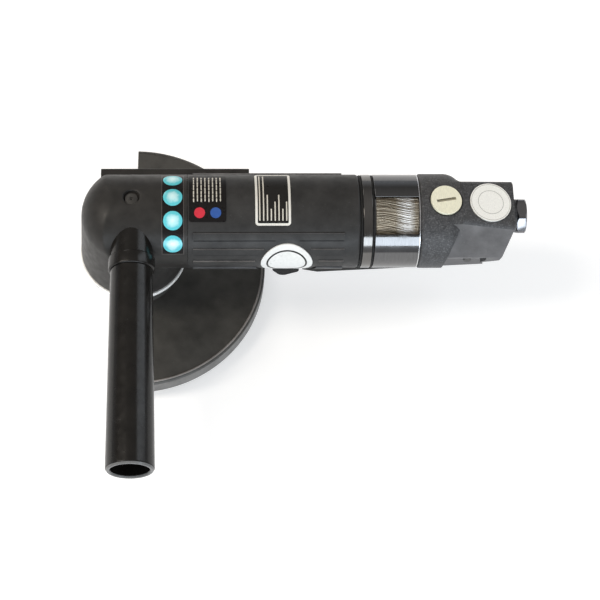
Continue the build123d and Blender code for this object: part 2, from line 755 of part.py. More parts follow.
def inner_flange():
    """Backing flange that the wheel sits against, with its pilot for the wheel bore."""
    relief_r = PILOT_R + FLANGE_RELIEF_W
    return turned_z([
        (FLANGE_SEAT_R, -PILOT_H),
        (PILOT_R, -PILOT_H),
        (PILOT_R, FLANGE_RELIEF_D),
        (relief_r, FLANGE_RELIEF_D),
        (relief_r, 0),
        (FLANGE_R, 0),
        (FLANGE_R, FLANGE_T / 2),
        (FLANGE_R - FLANGE_BEVEL, FLANGE_T),
        (FLANGE_SEAT_R, FLANGE_T),
    ])


# Wheel guard


def guard_collar():
    inside = NECK_R + RUN
    outside = inside + COLLAR_T
    ear_far = outside + CLAMP_EAR_OUT
    ears = block(inside + CLAMP_EAR_ROOT, ear_far, -CLAMP_SLOT / 2 - CLAMP_EAR_T, CLAMP_SLOT / 2 + CLAMP_EAR_T,
                 CLAMP_EAR_Z, CLAMP_EAR_Z + CLAMP_EAR_H)
    slot = block(0, ear_far + 1, -CLAMP_SLOT / 2, CLAMP_SLOT / 2, COLLAR_LOW_Z - 1, COLLAR_TOP_Z + 1)
    body = cyl_z(outside, COLLAR_LOW_Z, COLLAR_TOP_Z) + ears
    body -= cyl_z(inside, COLLAR_LOW_Z - 1, COLLAR_TOP_Z + 1)
    return (body - slot - clamp_shank()).rotate(Axis.Z, CLAMP_ANGLE)


def clamp_screw_place():
    """Radius and height of the clamp screw's axis."""
    return NECK_R + COLLAR_T + CLAMP_EAR_OUT / 2 + CLAMP_SCREW_OUT, CLAMP_EAR_Z + CLAMP_EAR_H / 2


def clamp_shank():
    x, z = clamp_screw_place()
    half = CLAMP_SLOT / 2 + CLAMP_EAR_T
    return cyl_y(CLAMP_SCREW_R, -half, half, x, z)


def guard_clamp_screw():
    x, z = clamp_screw_place()
    half = CLAMP_SLOT / 2 + CLAMP_EAR_T
    head = cyl_y(CLAMP_HEAD_R, -half - CLAMP_HEAD_H, -half, x, z)
    hexagon = RegularPolygon(CLAMP_SCREW_R * 0.9, 6)
    socket = extrude(Plane((x, -half - CLAMP_HEAD_H, z), z_dir=(0, 1, 0)) * hexagon, CLAMP_HEAD_H / 2)
    return (head - socket + clamp_shank()).rotate(Axis.Z, CLAMP_ANGLE)


def guard_shell():
    hub_r = NECK_R + RUN + COLLAR_T
    low = GUARD_TOP_Z - GUARD_RIM_H
    outline = Polyline(*[(r, 0, z) for r, z in [
        (hub_r, GUARD_CUP_Z),
        (hub_r + GUARD_T, GUARD_CUP_Z),
        (hub_r + GUARD_T, GUARD_TOP_Z),
        (GUARD_R, GUARD_TOP_Z),
        (GUARD_R, low),
        (GUARD_R - GUARD_T, low),
        (GUARD_R - GUARD_T, GUARD_TOP_Z - GUARD_T),
        (hub_r, GUARD_TOP_Z - GUARD_T),
    ]], close=True)
    section = make_face(outline)
    corners = section.vertices()
    outer = [v for v in corners if v.X > GUARD_R - 0.1 and v.Z > GUARD_TOP_Z - 0.1]
    section = fillet(outer, GUARD_EDGE_R)
    return revolve(section, Axis.Z, revolution_arc=GUARD_SPAN).rotate(Axis.Z, -GUARD_SPAN / 2)


# Motor


def motor_housing():
    body = cyl_x(BODY_R, JOINT_X, GRIP_END_X)
    body = fillet(body.edges().group_by(Axis.X)[-1], GRIP_END_ROUND)
    keep = cyl_y(RIB_BADGE_R, -BODY_R - 5, 0, SIDE_BADGE_X, AXIS_Z)
    for i in range(RIB_COUNT):
        middle = RIB_FIRST + i * RIB_PITCH
        rib = band(RIB_START_X, RIB_END_X, BODY_R - 0.5, RIB_H + 0.5,
                   middle - RIB_ANGLE / 2, middle + RIB_ANGLE / 2)
        body += rib - keep
        if i > 0:
            body += mirror(rib, Plane.XZ)
    return body - cyl_x(BORE_R, JOINT_X - 1, GRIP_END_X + 1)


def front_end_plate():
    body = cyl_x(BORE_R, HEAD_FRONT_PLATE_X, CYLINDER_X)
    body -= cyl_x(FRONT_BEARING[1] / 2, HEAD_FRONT_PLATE_X - 1, CYLINDER_X - END_PLATE_WEB)
    return body - cyl_x(FRONT_BEARING[0] / 2 + GAP, HEAD_FRONT_PLATE_X, CYLINDER_X + 1)


def exhaust_groove(x0, x1):
    """Passage along the underside of the motor for the used air."""
    bottom = AXIS_Z - BORE_R
    half = EXHAUST_GROOVE_W / 2
    return block(x0, x1, -half, half, bottom - 1, bottom + EXHAUST_GROOVE_D)


def cylinder():
    bore_z = AXIS_Z + CYLINDER_OFFSET
    body = cyl_x(BORE_R, CYLINDER_X, CYLINDER_END_X)
    body -= cyl_x(CYLINDER_BORE_R, CYLINDER_X - 1, CYLINDER_END_X + 1, 0, bore_z)
    body -= exhaust_groove(CYLINDER_X + 6, CYLINDER_END_X + 1)
    pitch = (CYLINDER_LEN - 12) / EXHAUST_SLOTS
    for i in range(EXHAUST_SLOTS):
        x = CYLINDER_X + 6 + pitch * (i + 0.5)
        body -= block(x - EXHAUST_SLOT_W / 2, x + EXHAUST_SLOT_W / 2, -6, 6, AXIS_Z - BORE_R, AXIS_Z)
    return body


def rear_end_plate():
    body = cyl_x(BORE_R, CYLINDER_END_X, NECK_X)
    body -= cyl_x(REAR_BEARING[1] / 2, REAR_BEARING_X, NECK_X + 1)
    body -= cyl_x(REAR_BEARING[0] / 2 + GAP, CYLINDER_END_X - 1, NECK_X)
    body -= cyl_x(AIR_HOLE_R, CYLINDER_END_X - 1, NECK_X + 1, 0, AXIS_Z + CYLINDER_BORE_R - 0.5)
    return body - exhaust_groove(CYLINDER_END_X - 1, NECK_X + 1)


def vane_slot(thickness, inner, outer, x0, x1):
    return block(x0, x1, -thickness / 2, thickness / 2, AXIS_Z + inner, AXIS_Z + outer)


def rotor():
    x0 = CYLINDER_X + ROTOR_END_GAP
    x1 = CYLINDER_END_X - ROTOR_END_GAP
    front_r = FRONT_BEARING[0] / 2
    rear_r = REAR_BEARING[0] / 2
    body = turned_x([
        (FRONT_BEARING_X - PINION_SOCKET_LEN, 0),
        (FRONT_BEARING_X - PINION_SOCKET_LEN, ROTOR_NOSE_R),
        (FRONT_BEARING_X, ROTOR_NOSE_R),
        (FRONT_BEARING_X, front_r),
        (x0, front_r),
        (x0, ROTOR_R),
        (x1, ROTOR_R),
        (x1, rear_r),
        (REAR_BEARING_X + REAR_BEARING[2], rear_r),
        (REAR_BEARING_X + REAR_BEARING[2], 0),
    ])
    floor = ROTOR_R - VANE_DEPTH - VANE_SIDE_GAP
    slot = vane_slot(VANE_T + 2 * VANE_SIDE_GAP, floor, ROTOR_R + 1, x0 - 1, x1 + 1)
    for cut in ring_of(slot, VANE_COUNT, MOTOR_AXIS):
        body -= cut
    return body


def vanes():
    x0 = CYLINDER_X + 2 * ROTOR_END_GAP
    x1 = CYLINDER_END_X - 2 * ROTOR_END_GAP
    vane = vane_slot(VANE_T, ROTOR_R - VANE_DEPTH, ROTOR_R - VANE_SIDE_GAP, x0, x1)
    return Compound(ring_of(vane, VANE_COUNT, MOTOR_AXIS))


# Exhaust section


def air_holes(x0, x1):
    hole = cyl_x(AIR_HOLE_R, x0, x1, 0, AXIS_Z + AIR_HOLE_PCD / 2)
    return ring_of(hole, AIR_HOLES, MOTOR_AXIS)


def spacer_ring():
    body = cyl_x(CARRIER_R, GRIP_END_X, SLEEVE_X + SLEEVE_LAND)
    body += cyl_x(BODY_R, RING_X, RING_END_X)
    body -= cyl_x(CORE_R, GRIP_END_X - 1, SLEEVE_X + 2)
    for hole in air_holes(GRIP_END_X - 1, SLEEVE_X + 2):
        body -= hole
    return body


def sleeve_o_rings():
    ring = Rot(0, 90, 0) * Torus(CARRIER_R + O_RING_R, O_RING_R)
    front_x = GRIP_END_X + O_RING_SEAT / 2
    rear_x = RING_END_X + O_RING_SEAT / 2
    return Compound([Pos(x, 0, AXIS_Z) * ring for x in (front_x, rear_x)])


def exhaust_sleeve():
    """Ring with an open side that lets the used air out."""
    body = cyl_x(BODY_R, SLEEVE_X, SLEEVE_END_X) - cyl_x(SLEEVE_BORE_R, SLEEVE_X - 1, SLEEVE_END_X + 1)
    window = band(SLEEVE_X - 1, SLEEVE_END_X + 1, SLEEVE_BORE_R - 1, SLEEVE_WALL + 2, WINDOW_FROM, WINDOW_TO)
    return body - window


def silencer():
    """Roll of knitted wire round the core tube."""
    x0 = SLEEVE_X + SLEEVE_LAND
    x1 = SLEEVE_END_X - SLEEVE_LAND
    return cyl_x(CARRIER_R - GAP, x0, x1) - cyl_x(CORE_R, x0 - 1, x1 + 1)


# Valve housing


def top_plane_z(x):
    """Height of the sloping top face."""
    return AXIS_Z + TOP_AT_PLUG - (x - VALVE_X) * math.tan(math.radians(TOP_SLOPE))


def top_place(x):
    """Place on the sloping top face with Z square to it."""
    return Pos(x, 0, top_plane_z(x)) * Rot(0, TOP_SLOPE, 0)


def lever_lug():
    low = AXIS_Z + BLOCK_BASE_Z
    lug = block(PIVOT_X - LUG_R, PIVOT_X + LUG_R, -LUG_W / 2, LUG_W / 2, PIVOT_Z, low + 2)
    return lug + cyl_y(LUG_R, -LUG_W / 2, LUG_W / 2, PIVOT_X, PIVOT_Z)


def valve_block():
    """Faceted rear part with its sloping top and leaning rear face."""
    shoulder_z = AXIS_Z + BLOCK_SHOULDER_Z
    half = [
        (BLOCK_TOP_Y, AXIS_Z + BLOCK_TOP_Z),
        (BLOCK_SHOULDER_Y, shoulder_z),
        (BLOCK_SHOULDER_Y, shoulder_z - BLOCK_SIDE_DROP),
        (BLOCK_BASE_Y, AXIS_Z + BLOCK_BASE_Z),
    ]
    section = half + [(-y, z) for y, z in reversed(half)]
    body = plate_yz(section, VALVE_X, INLET_BOSS_X) - above_top()
    long_edges = body.edges().filter_by(lambda edge: edge.length > INLET_BOSS_X - VALVE_X - 1)
    body = fillet(long_edges.sort_by(Axis.Z)[-2:], BLOCK_EDGE_R)
    rear = Pos(REAR_X, 0, AXIS_Z) * Rot(0, REAR_LEAN, 0) * block(0, FAR, -FAR, FAR, -FAR, FAR)
    outside = cyl_x(FAR, VALVE_X - 1, BLOCK_FREE_X)
    outside -= cyl_x(VALVE_FLANGE_R - BLOCK_INSET, VALVE_X - 2, BLOCK_FREE_X + 1)
    return body - rear - outside


def above_top():
    return top_place(VALVE_X) * block(-FAR, FAR, -FAR, FAR, 0, FAR)


def cheek_relief(side):
    """Flat along the lower side that clears a cheek of the lever; the side is 1 or -1."""
    x0, x1 = CHEEK_RELIEF_X
    cut = block(x0, x1, CHEEK_RELIEF, FAR, -FAR, FAR)
    if side < 0:
        cut = mirror(cut, Plane.XZ)
    return Pos(0, 0, AXIS_Z) * cut.rotate(Axis.X, -side * CHEEK_RELIEF_LEAN)


def valve_round():
    """Round front part that flows into the faceted rear in an S-curve."""
    end_x = TAPER_X + VALVE_TAPER_LEN
    edge_z = AXIS_Z + VALVE_FLANGE_R
    end_z = AXIS_Z + VALVE_TAPER_R
    middle = ((TAPER_X + end_x) / 2, 0, (edge_z + end_z) / 2)
    start = Polyline(
        (end_x, 0, end_z),
        (end_x, 0, AXIS_Z),
        (VALVE_FLANGE_X, 0, AXIS_Z),
        (VALVE_FLANGE_X, 0, edge_z - VALVE_FLANGE_ROUND),
        (VALVE_FLANGE_X + VALVE_FLANGE_ROUND, 0, edge_z),
        (TAPER_X, 0, edge_z),
    )
    shoulder = TangentArc((TAPER_X, 0, edge_z), middle, tangent=(1, 0, 0))
    hollow = TangentArc((end_x, 0, end_z), middle, tangent=(-1, 0, 0))
    near_end = Plane((NEAR_END_X, 0, AXIS_Z), z_dir=(1, -NEAR_END_LEAN_Y, -NEAR_END_LEAN_Z))
    body = revolve(make_face(start + shoulder + hollow), MOTOR_AXIS)
    return body - near_end * block(-FAR, FAR, -FAR, FAR, 0, FAR)


def valve_housing_shape():
    """Outside of the valve housing as a solid."""
    body = valve_round() + valve_block() - cheek_relief(1) - cheek_relief(-1) + lever_lug()
    body += cyl_x(INLET_BOSS_R, TAPER_X, INLET_BOSS_X, 0, INLET_AXIS_Z)
    return body - above_top()


def valve_housing():
    body = valve_housing_shape()
    body += cyl_x(BORE_R, NECK_X, GRIP_END_X)
    body += cyl_x(CORE_R, GRIP_END_X - 1, VALVE_FLANGE_X + 1)
    body += cyl_x(CARRIER_R, SLEEVE_END_X - SLEEVE_LAND, VALVE_FLANGE_X + 1)
    body -= cyl_x(CORE_BORE_R, NECK_X - 1, VALVE_X - VALVE_CHAMBER_R - 3.5)
    for hole in air_holes(NECK_X - 1, GRIP_END_X + 1):
        body -= hole
    body -= block(NECK_X - 1, NECK_X + 2, -AIR_HOLE_R, AIR_HOLE_R, AXIS_Z, AXIS_Z + CYLINDER_BORE_R + 1)
    body -= valve_bores()
    body -= inlet_bores()
    body -= top_place(REAR_BADGE_X) * cyl_z(REAR_BADGE_R + REAR_BADGE_GAP, -REAR_BADGE_SINK, 5)
    return body - cyl_y(PIVOT_R, -LUG_W, LUG_W, PIVOT_X, PIVOT_Z)


def valve_bores():
    """Upright bore for plug, spring, valve, seat and bush, and its way to the motor."""
    seat_low = AXIS_Z + SEAT_TOP - SEAT_T
    bush_top = AXIS_Z - VALVE_FLANGE_R + BUSH_LEN
    plug_low = AXIS_Z + VALVE_CHAMBER_TOP
    bores = cyl_z(VALVE_CHAMBER_R, seat_low, plug_low, VALVE_X)
    bores += cyl_z(BUSH_R, bush_top - BUSH_LEN - 5, seat_low + 1, VALVE_X)
    bores += top_place(VALVE_X) * cyl_z(PLUG_THREAD_R, -TOP_AT_PLUG + VALVE_CHAMBER_TOP, 2)
    bores += top_place(VALVE_X) * cyl_z(PLUG_HEAD_R + GAP, -PLUG_HEAD_T, 5)
    ring = cyl_z(PLUG_HEAD_R + PLUG_RING_GAP, -PLUG_RING_D, 5) - cyl_z(PLUG_HEAD_R, -PLUG_RING_D - 1, 6)
    bores += top_place(VALVE_X) * ring
    start = Vector(VALVE_X - CHANNEL_REACH, 0, AXIS_Z - CORE_BORE_R + 2)
    end = Vector(VALVE_X, 0, (bush_top + seat_low) / 2)
    path = end - start
    channel = extrude(Plane(start, z_dir=path) * Circle(AIR_HOLE_R), path.length)
    return bores + channel


def inlet_bores():
    shank_x = INLET_BOSS_X - INLET_SHANK_LEN
    bores = cyl_x(INLET_SHANK_R, shank_x - STRAINER_LEN, INLET_BOSS_X + 1, 0, INLET_AXIS_Z)
    return bores + cyl_x(INLET_WAY_R, VALVE_X, shank_x, 0, INLET_AXIS_Z)


def inlet_bush():
    """Threaded bush that takes the hose fitting."""
    shank_x = INLET_BOSS_X - INLET_SHANK_LEN
    end_x = INLET_BOSS_X + INLET_HEX_LEN
    hexagon = RegularPolygon(INLET_HEX / 2, 6, major_radius=False)
    place = Plane((INLET_BOSS_X, 0, INLET_AXIS_Z), x_dir=(0, 1, 0), z_dir=(1, 0, 0))
    head = extrude(place * hexagon, INLET_HEX_LEN)
    corner_r = INLET_HEX / 2 * 1.1
    rounding = turned_x([
        (INLET_BOSS_X, 0),
        (INLET_BOSS_X, corner_r - INLET_HEX_BEVEL),
        (INLET_BOSS_X + INLET_HEX_BEVEL, corner_r),
        (end_x - INLET_HEX_BEVEL, corner_r),
        (end_x, corner_r - INLET_HEX_BEVEL),
        (end_x, 0),
    ], INLET_AXIS_Z)
    body = (head & rounding) + cyl_x(INLET_SHANK_R, shank_x, INLET_BOSS_X, 0, INLET_AXIS_Z)
    body -= cyl_x(INLET_BORE_R, end_x - INLET_BORE_LEN, end_x + 1, 0, INLET_AXIS_Z)
    return body - cyl_x(INLET_THROAT_R, shank_x - 1, end_x, 0, INLET_AXIS_Z)


def inlet_strainer():
    """Perforated cup in front of the inlet bush."""
    x1 = INLET_BOSS_X - INLET_SHANK_LEN
    x0 = x1 - STRAINER_LEN
    body = cyl_x(INLET_SHANK_R, x0, x1, 0, INLET_AXIS_Z)
    body -= cyl_x(INLET_SHANK_R - STRAINER_WALL, x0 + STRAINER_WALL, x1 + 1, 0, INLET_AXIS_Z)
    hole = cyl_x(STRAINER_HOLE_R, x0 - 1, x0 + 2, 0, INLET_AXIS_Z + INLET_SHANK_R * 0.45)
    inlet_axis = Axis((0, 0, INLET_AXIS_Z), (1, 0, 0))
    for cut in ring_of(hole, 6, inlet_axis):
        body -= cut
    return body - cyl_x(STRAINER_HOLE_R, x0 - 1, x0 + 2, 0, INLET_AXIS_Z)


def valve_plug():
    """Slotted screw plug over the valve spring."""
    body = cyl_z(PLUG_HEAD_R, -PLUG_HEAD_T, PLUG_PROUD)
    body += cyl_z(PLUG_THREAD_R, -TOP_AT_PLUG + VALVE_CHAMBER_TOP, -PLUG_HEAD_T)
    slot = block(-PLUG_SLOT_L / 2, PLUG_SLOT_L / 2, -PLUG_SLOT_W / 2, PLUG_SLOT_W / 2, PLUG_PROUD - PLUG_SLOT_D, 1)
    body -= slot.rotate(Axis.Z, PLUG_SLOT_ANGLE)
    return top_place(VALVE_X) * body


def valve_seat():
    top = AXIS_Z + SEAT_TOP
    ring = cyl_z(VALVE_CHAMBER_R, top - SEAT_T, top, VALVE_X)
    return ring - cyl_z(SEAT_BORE_R, top - SEAT_T - 1, top + 1, VALVE_X)


def plunger_bush():
    low = AXIS_Z - VALVE_FLANGE_R
    ring = cyl_z(BUSH_R, low, low + BUSH_LEN, VALVE_X)
    return ring - cyl_z(STEM_R + RUN, low - 1, low + BUSH_LEN + 1, VALVE_X)


def lever_floor_z(x):
    """Height of the lever's inner floor at rest, on the centre plane."""
    slope = math.tan(math.radians(LEVER_OPEN))
    drop = (LEVER_DEPTH - LEVER_T) / math.cos(math.radians(LEVER_OPEN))
    return PIVOT_Z - (PIVOT_X - x) * slope - drop


def throttle_valve():
    """Poppet with its stem, pushed up off the seat by the lever."""
    poppet_low = AXIS_Z + SEAT_TOP + POPPET_GAP
    poppet_top = poppet_low + POPPET_T
    tip = lever_floor_z(VALVE_X) + GAP + STEM_R
    stem = cyl_z(STEM_R, tip, poppet_low + 1, VALVE_X) + Pos(VALVE_X, 0, tip) * Sphere(STEM_R)
    head = cyl_z(POPPET_R, poppet_low, poppet_top, VALVE_X)
    return stem + head + cyl_z(SPRING_PIN_R, poppet_top - 1, poppet_top + SPRING_PIN_H, VALVE_X)


def coil(radius, wire_r, height, turns):
    """Helical wire about +Z from z = 0."""
    path = Helix(pitch=height / turns, height=height, radius=radius)
    start = path @ 0
    section = Plane(start, z_dir=path % 0) * Circle(wire_r)
    return sweep(section, path)


def valve_spring():
    low = AXIS_Z + SEAT_TOP + POPPET_GAP + POPPET_T + SPRING_WIRE_R + RUN
    high = AXIS_Z + VALVE_CHAMBER_TOP - SPRING_WIRE_R - SPRING_END_GAP
    return Pos(VALVE_X, 0, low) * coil(SPRING_R, SPRING_WIRE_R, high - low, SPRING_TURNS)


# Throttle lever


def at_lever(part):
    """Place a part drawn with the lever level and the pivot at the origin."""
    return Pos(PIVOT_X, 0, PIVOT_Z) * Rot(0, -LEVER_OPEN, 0) * part


def lever_plan(inset):
    """Width of the lever seen from above, narrower towards the front, over a tall height."""
    front = LEVER_FRONT_W / 2 - inset
    back = LEVER_W / 2 - inset
    front_x = -TAB_REACH - LEVER_NOSE - 1
    back_x = LEVER_BACK + 1
    corners = [(front_x, front), (back_x, back), (back_x, -back), (front_x, -front)]
    outline = Polyline(*[(x, y, 0) for x, y in corners], close=True)
    return extrude(make_face(outline), amount=FAR, both=True)


def throttle_lever():
    nose_x = -TAB_REACH - LEVER_NOSE
    floor_x = -TAB_REACH + TAB_BOSS_R - 0.5
    side = plate_xz([
        (LEVER_BACK, -LEVER_DEPTH),
        (LEVER_BACK, LEVER_RISE - 1.5),
        (LEVER_BACK - 1.5, LEVER_RISE),
        (nose_x + 2.5, LEVER_RISE - 0.6),
        (nose_x, LEVER_RISE - 3.0),
        (nose_x, -2.5),
        (floor_x, -LEVER_DEPTH),
    ], LEVER_W)
    channel = lever_plan(LEVER_T)
    floor = block(floor_x, FAR, -LEVER_W, LEVER_W, -FAR, LEVER_T - LEVER_DEPTH)
    body = (side & lever_plan(0)) - (channel - floor)
    body -= cyl_y(PIVOT_R + RUN, -FAR, FAR, 0, 0)
    body -= cyl_y(TAB_PIN_R, -FAR, FAR, -TAB_REACH, 0)
    return at_lever(body)


def lever_pin():
    half = LEVER_W / 2 + LEVER_PIN_PROUD
    return cyl_y(PIVOT_R, -half, half, PIVOT_X, PIVOT_Z)


def lock_tab_pin():
    half = LEVER_FRONT_W / 2
    return at_lever(cyl_y(TAB_PIN_R, -half, half, -TAB_REACH, 0))


def tab_pin_place():
    """X and Z of the tab pin at rest."""
    lean = math.radians(LEVER_OPEN)
    return PIVOT_X - TAB_REACH * math.cos(lean), PIVOT_Z - TAB_REACH * math.sin(lean)


def lock_tab():
    """Sprung tab whose foot stands under the grip until it is pulled back."""
    x, z = tab_pin_place()
    foot_z = AXIS_Z - BODY_R - TAB_FOOT_GAP - TAB_FOOT_R - z
    boss = ((0.0, 0.0), TAB_BOSS_R)
    foot = ((TAB_FOOT_X, foot_z), TAB_FOOT_R)
    nose = (TAB_NOSE, TAB_NOSE_R)
    lobe = (TAB_LOBE, TAB_LOBE_R)
    heel = (TAB_HEEL, TAB_HEEL_R)
    body = rounded_plate([boss, foot, nose, lobe], x, z, TAB_W / 2)
    body += rounded_plate([nose, lobe, heel], x, z, TAB_PADDLE_W / 2)
    return body - cyl_y(TAB_PIN_R + RUN, -TAB_W, TAB_W, x, z)


def rounded_plate(rounds, x, z, half):
    """Plate that wraps round ends given as (place, radius), places being seen from x and z."""
    body = plate_xz([(x + dx, z + dz) for (dx, dz), r in rounds], half)
    for first, second in zip(rounds, rounds[1:] + rounds[:1]):
        body += bar_between(first, second, x, z, half)
    for (dx, dz), r in rounds:
        body += cyl_y(r, -half, half, x + dx, z + dz)
    return body


def bar_between(first, second, x, z, half):
    """Straight-sided web that joins two round ends of the tab."""
    (x0, z0), r0 = first
    (x1, z1), r1 = second
    length = math.hypot(x1 - x0, z1 - z0)
    lean = math.asin((r0 - r1) / length)
    along = math.atan2(z1 - z0, x1 - x0)
    corners = []
    for (cx, cz), r, side in (((x0, z0), r0, 1), ((x1, z1), r1, 1), ((x1, z1), r1, -1), ((x0, z0), r0, -1)):
        angle = along + side * (math.pi / 2 - lean)
        corners.append((x + cx + r * math.cos(angle), z + cz + r * math.sin(angle)))
    return plate_xz(corners, half)


def lock_tab_spring():
    x, z = tab_pin_place()
    side = TAB_SPRING_WIRE_R + TAB_SPRING_GAP
    room = LEVER_FRONT_W / 2 - LEVER_T - TAB_W / 2 - 2 * side
    wire = coil(TAB_PIN_R + side, TAB_SPRING_WIRE_R, room, TAB_SPRING_TURNS)
    return Pos(x, TAB_W / 2 + side, z) * Rot(-90, 0, 0) * wire


# Side handle


def handle_bolt_shank():
    return cyl_y(HANDLE_BOLT_R, -HANDLE_COLLAR_END - HANDLE_WEB, -HANDLE_BOLT_TIP, 0, HANDLE_Z)


def handle_collar():
    """Collar that seats on the curved side of the head."""
    body = cyl_y(HANDLE_COLLAR_R, -HANDLE_COLLAR_END, -HANDLE_BOLT_TIP + 4, 0, HANDLE_Z)
    body = chamfer(body.edges().group_by(Axis.Y)[0], HANDLE_COLLAR_BEVEL)
    groove_y = HANDLE_GROOVE - HANDLE_COLLAR_END
    groove = cyl_y(HANDLE_COLLAR_R + 1, groove_y, groove_y + HANDLE_GROOVE_W, 0, HANDLE_Z)
    groove -= cyl_y(HANDLE_COLLAR_R - HANDLE_GROOVE_D, groove_y, groove_y + HANDLE_GROOVE_W, 0, HANDLE_Z)
    body -= groove
    body -= cyl_y(HANDLE_BOLT_HOLE_R, -HANDLE_COLLAR_END - 1, 0, 0, HANDLE_Z)
    return body - head_shape()


def handle_grip():
    """Hollow tapered grip, open at its end."""
    root = -HANDLE_COLLAR_END
    end = -HANDLE_END
    outline = Polyline(*[(r, y, HANDLE_Z) for r, y in [
        (HANDLE_BOLT_HOLE_R, root),
        (HANDLE_ROOT_R, root),
        (HANDLE_END_R, end + 1.2),
        (HANDLE_END_R - 0.9, end),
        (HANDLE_BORE_R + 0.6, end),
        (HANDLE_BORE_R, end + 0.8),
        (HANDLE_BORE_R, root - HANDLE_WEB),
        (HANDLE_BOLT_HOLE_R, root - HANDLE_WEB),
    ]], close=True)
    return revolve(make_face(outline), Axis((0, 0, HANDLE_Z), (0, 1, 0)))


def handle_bolt():
    face = -HANDLE_COLLAR_END - HANDLE_WEB
    head = cyl_y(HANDLE_HEAD_R, face - HANDLE_HEAD_H, face, 0, HANDLE_Z)
    hexagon = RegularPolygon(HANDLE_SOCKET / 2, 6, major_radius=False)
    place = Plane((0, face - HANDLE_HEAD_H, HANDLE_Z), z_dir=(0, 1, 0))
    socket = extrude(place * hexagon, HANDLE_HEAD_H / 2)
    return head - socket + handle_bolt_shank()


# Outside trim


def side_rest():
    """Moulded rest along the far side of head and grip."""
    low = AXIS_Z + REST_LOW
    high = AXIS_Z + REST_HIGH
    bar = block(REST_START_X, REST_END_X, REST_Y - REST_DEPTH, REST_Y, low, high)
    outer_edges = bar.edges().filter_by(Axis.X).sort_by(Axis.Y)[-2:]
    bar = fillet(outer_edges, REST_EDGE_R)
    bar -= head_shape()
    return bar - cyl_x(BODY_R + RIB_H, JOINT_X, REST_END_X + 1)


def wrapped_plate(size, surface_r):
    x0, x1, start, end = size
    return band(x0, x1, surface_r, PLATE_T, start, end)


def dots():
    return Compound([round_patch(DOT_R, DOT_X, angle, BODY_R, PLATE_T) for angle in DOT_ANGLES])


def side_badge():
    return round_patch(SIDE_BADGE_R, SIDE_BADGE_X, SIDE_BADGE_ANGLE, BODY_R, PLATE_T)


def rear_badge():
    return top_place(REAR_BADGE_X) * cyl_z(REAR_BADGE_R, -REAR_BADGE_SINK, REAR_BADGE_T - REAR_BADGE_SINK)


def all_nodes():
    nodes = {
        "gear_housing": gear_housing(),
        "bearing_retainer": bearing_retainer(),
        "retainer_screws": retainer_screws(),
        "spindle_seal": spindle_seal(),
        "bearing_circlip": bearing_circlip(),
        "grease_nipple": grease_nipple(),
        "spindle": spindle(),
        "crown_gear": crown_gear(),
        "gear_key": key_block(),
        "gear_circlip": gear_circlip(),
        "inner_flange": inner_flange(),
        "guard_shell": guard_shell(),
        "guard_collar": guard_collar(),
        "guard_clamp_screw": guard_clamp_screw(),
        "motor_housing": motor_housing(),
        "front_end_plate": front_end_plate(),
        "cylinder": cylinder(),
        "rear_end_plate": rear_end_plate(),
        "rotor": rotor(),
        "vanes": vanes(),
        "pinion": pinion(),
        "spacer_ring": spacer_ring(),
        "sleeve_o_rings": sleeve_o_rings(),
        "exhaust_sleeve": exhaust_sleeve(),
        "silencer": silencer(),
        "valve_housing": valve_housing(),
        "inlet_bush": inlet_bush(),
        "inlet_strainer": inlet_strainer(),
        "valve_plug": valve_plug(),
        "valve_seat": valve_seat(),
        "plunger_bush": plunger_bush(),
        "throttle_valve": throttle_valve(),
        "valve_spring": valve_spring(),
        "throttle_lever": throttle_lever(),
        "lever_pin": lever_pin(),
        "lock_tab": lock_tab(),
        "lock_tab_pin": lock_tab_pin(),
        "lock_tab_spring": lock_tab_spring(),
        "handle_collar": handle_collar(),
        "handle_grip": handle_grip(),
        "handle_bolt": handle_bolt(),
        "side_rest": side_rest(),
        "dots": dots(),
        "name_plate": wrapped_plate(NAME_PLATE, BODY_R),
        "side_label": wrapped_plate(SIDE_LABEL, BODY_R),
        "side_badge": side_badge(),
        "rear_badge": rear_badge(),
    }
    nodes.update(all_bearings())
    return nodes


os.makedirs("parts", exist_ok=True)
for name, shape in all_nodes().items():
    export_step(shape, "parts/" + name + ".step")
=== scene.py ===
import json
import math

import bmesh
import bpy
from mathutils import Matrix, Vector


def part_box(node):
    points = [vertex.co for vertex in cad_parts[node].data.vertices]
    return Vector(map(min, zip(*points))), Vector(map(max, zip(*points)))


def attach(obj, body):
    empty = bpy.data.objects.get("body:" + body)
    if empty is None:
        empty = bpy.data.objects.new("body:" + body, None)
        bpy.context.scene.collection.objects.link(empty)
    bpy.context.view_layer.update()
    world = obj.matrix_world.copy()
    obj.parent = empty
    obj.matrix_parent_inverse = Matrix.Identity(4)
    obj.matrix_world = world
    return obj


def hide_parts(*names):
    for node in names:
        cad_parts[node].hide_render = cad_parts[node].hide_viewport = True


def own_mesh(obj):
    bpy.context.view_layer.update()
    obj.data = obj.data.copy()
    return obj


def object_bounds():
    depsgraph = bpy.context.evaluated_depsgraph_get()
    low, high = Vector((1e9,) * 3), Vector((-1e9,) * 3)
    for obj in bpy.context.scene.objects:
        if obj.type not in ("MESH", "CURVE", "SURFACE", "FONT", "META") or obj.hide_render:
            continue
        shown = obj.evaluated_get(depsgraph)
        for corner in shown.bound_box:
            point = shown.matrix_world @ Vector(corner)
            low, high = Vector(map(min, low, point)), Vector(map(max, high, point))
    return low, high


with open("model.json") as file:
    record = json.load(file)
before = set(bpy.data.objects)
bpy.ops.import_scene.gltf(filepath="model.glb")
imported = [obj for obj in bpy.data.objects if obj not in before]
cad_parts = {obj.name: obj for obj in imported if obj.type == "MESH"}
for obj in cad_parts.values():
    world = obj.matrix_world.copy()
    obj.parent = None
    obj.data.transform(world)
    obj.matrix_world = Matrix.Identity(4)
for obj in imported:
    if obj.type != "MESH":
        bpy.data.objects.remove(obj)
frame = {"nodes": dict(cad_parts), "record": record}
CAD_BOUNDS = [list(corner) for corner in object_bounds()]
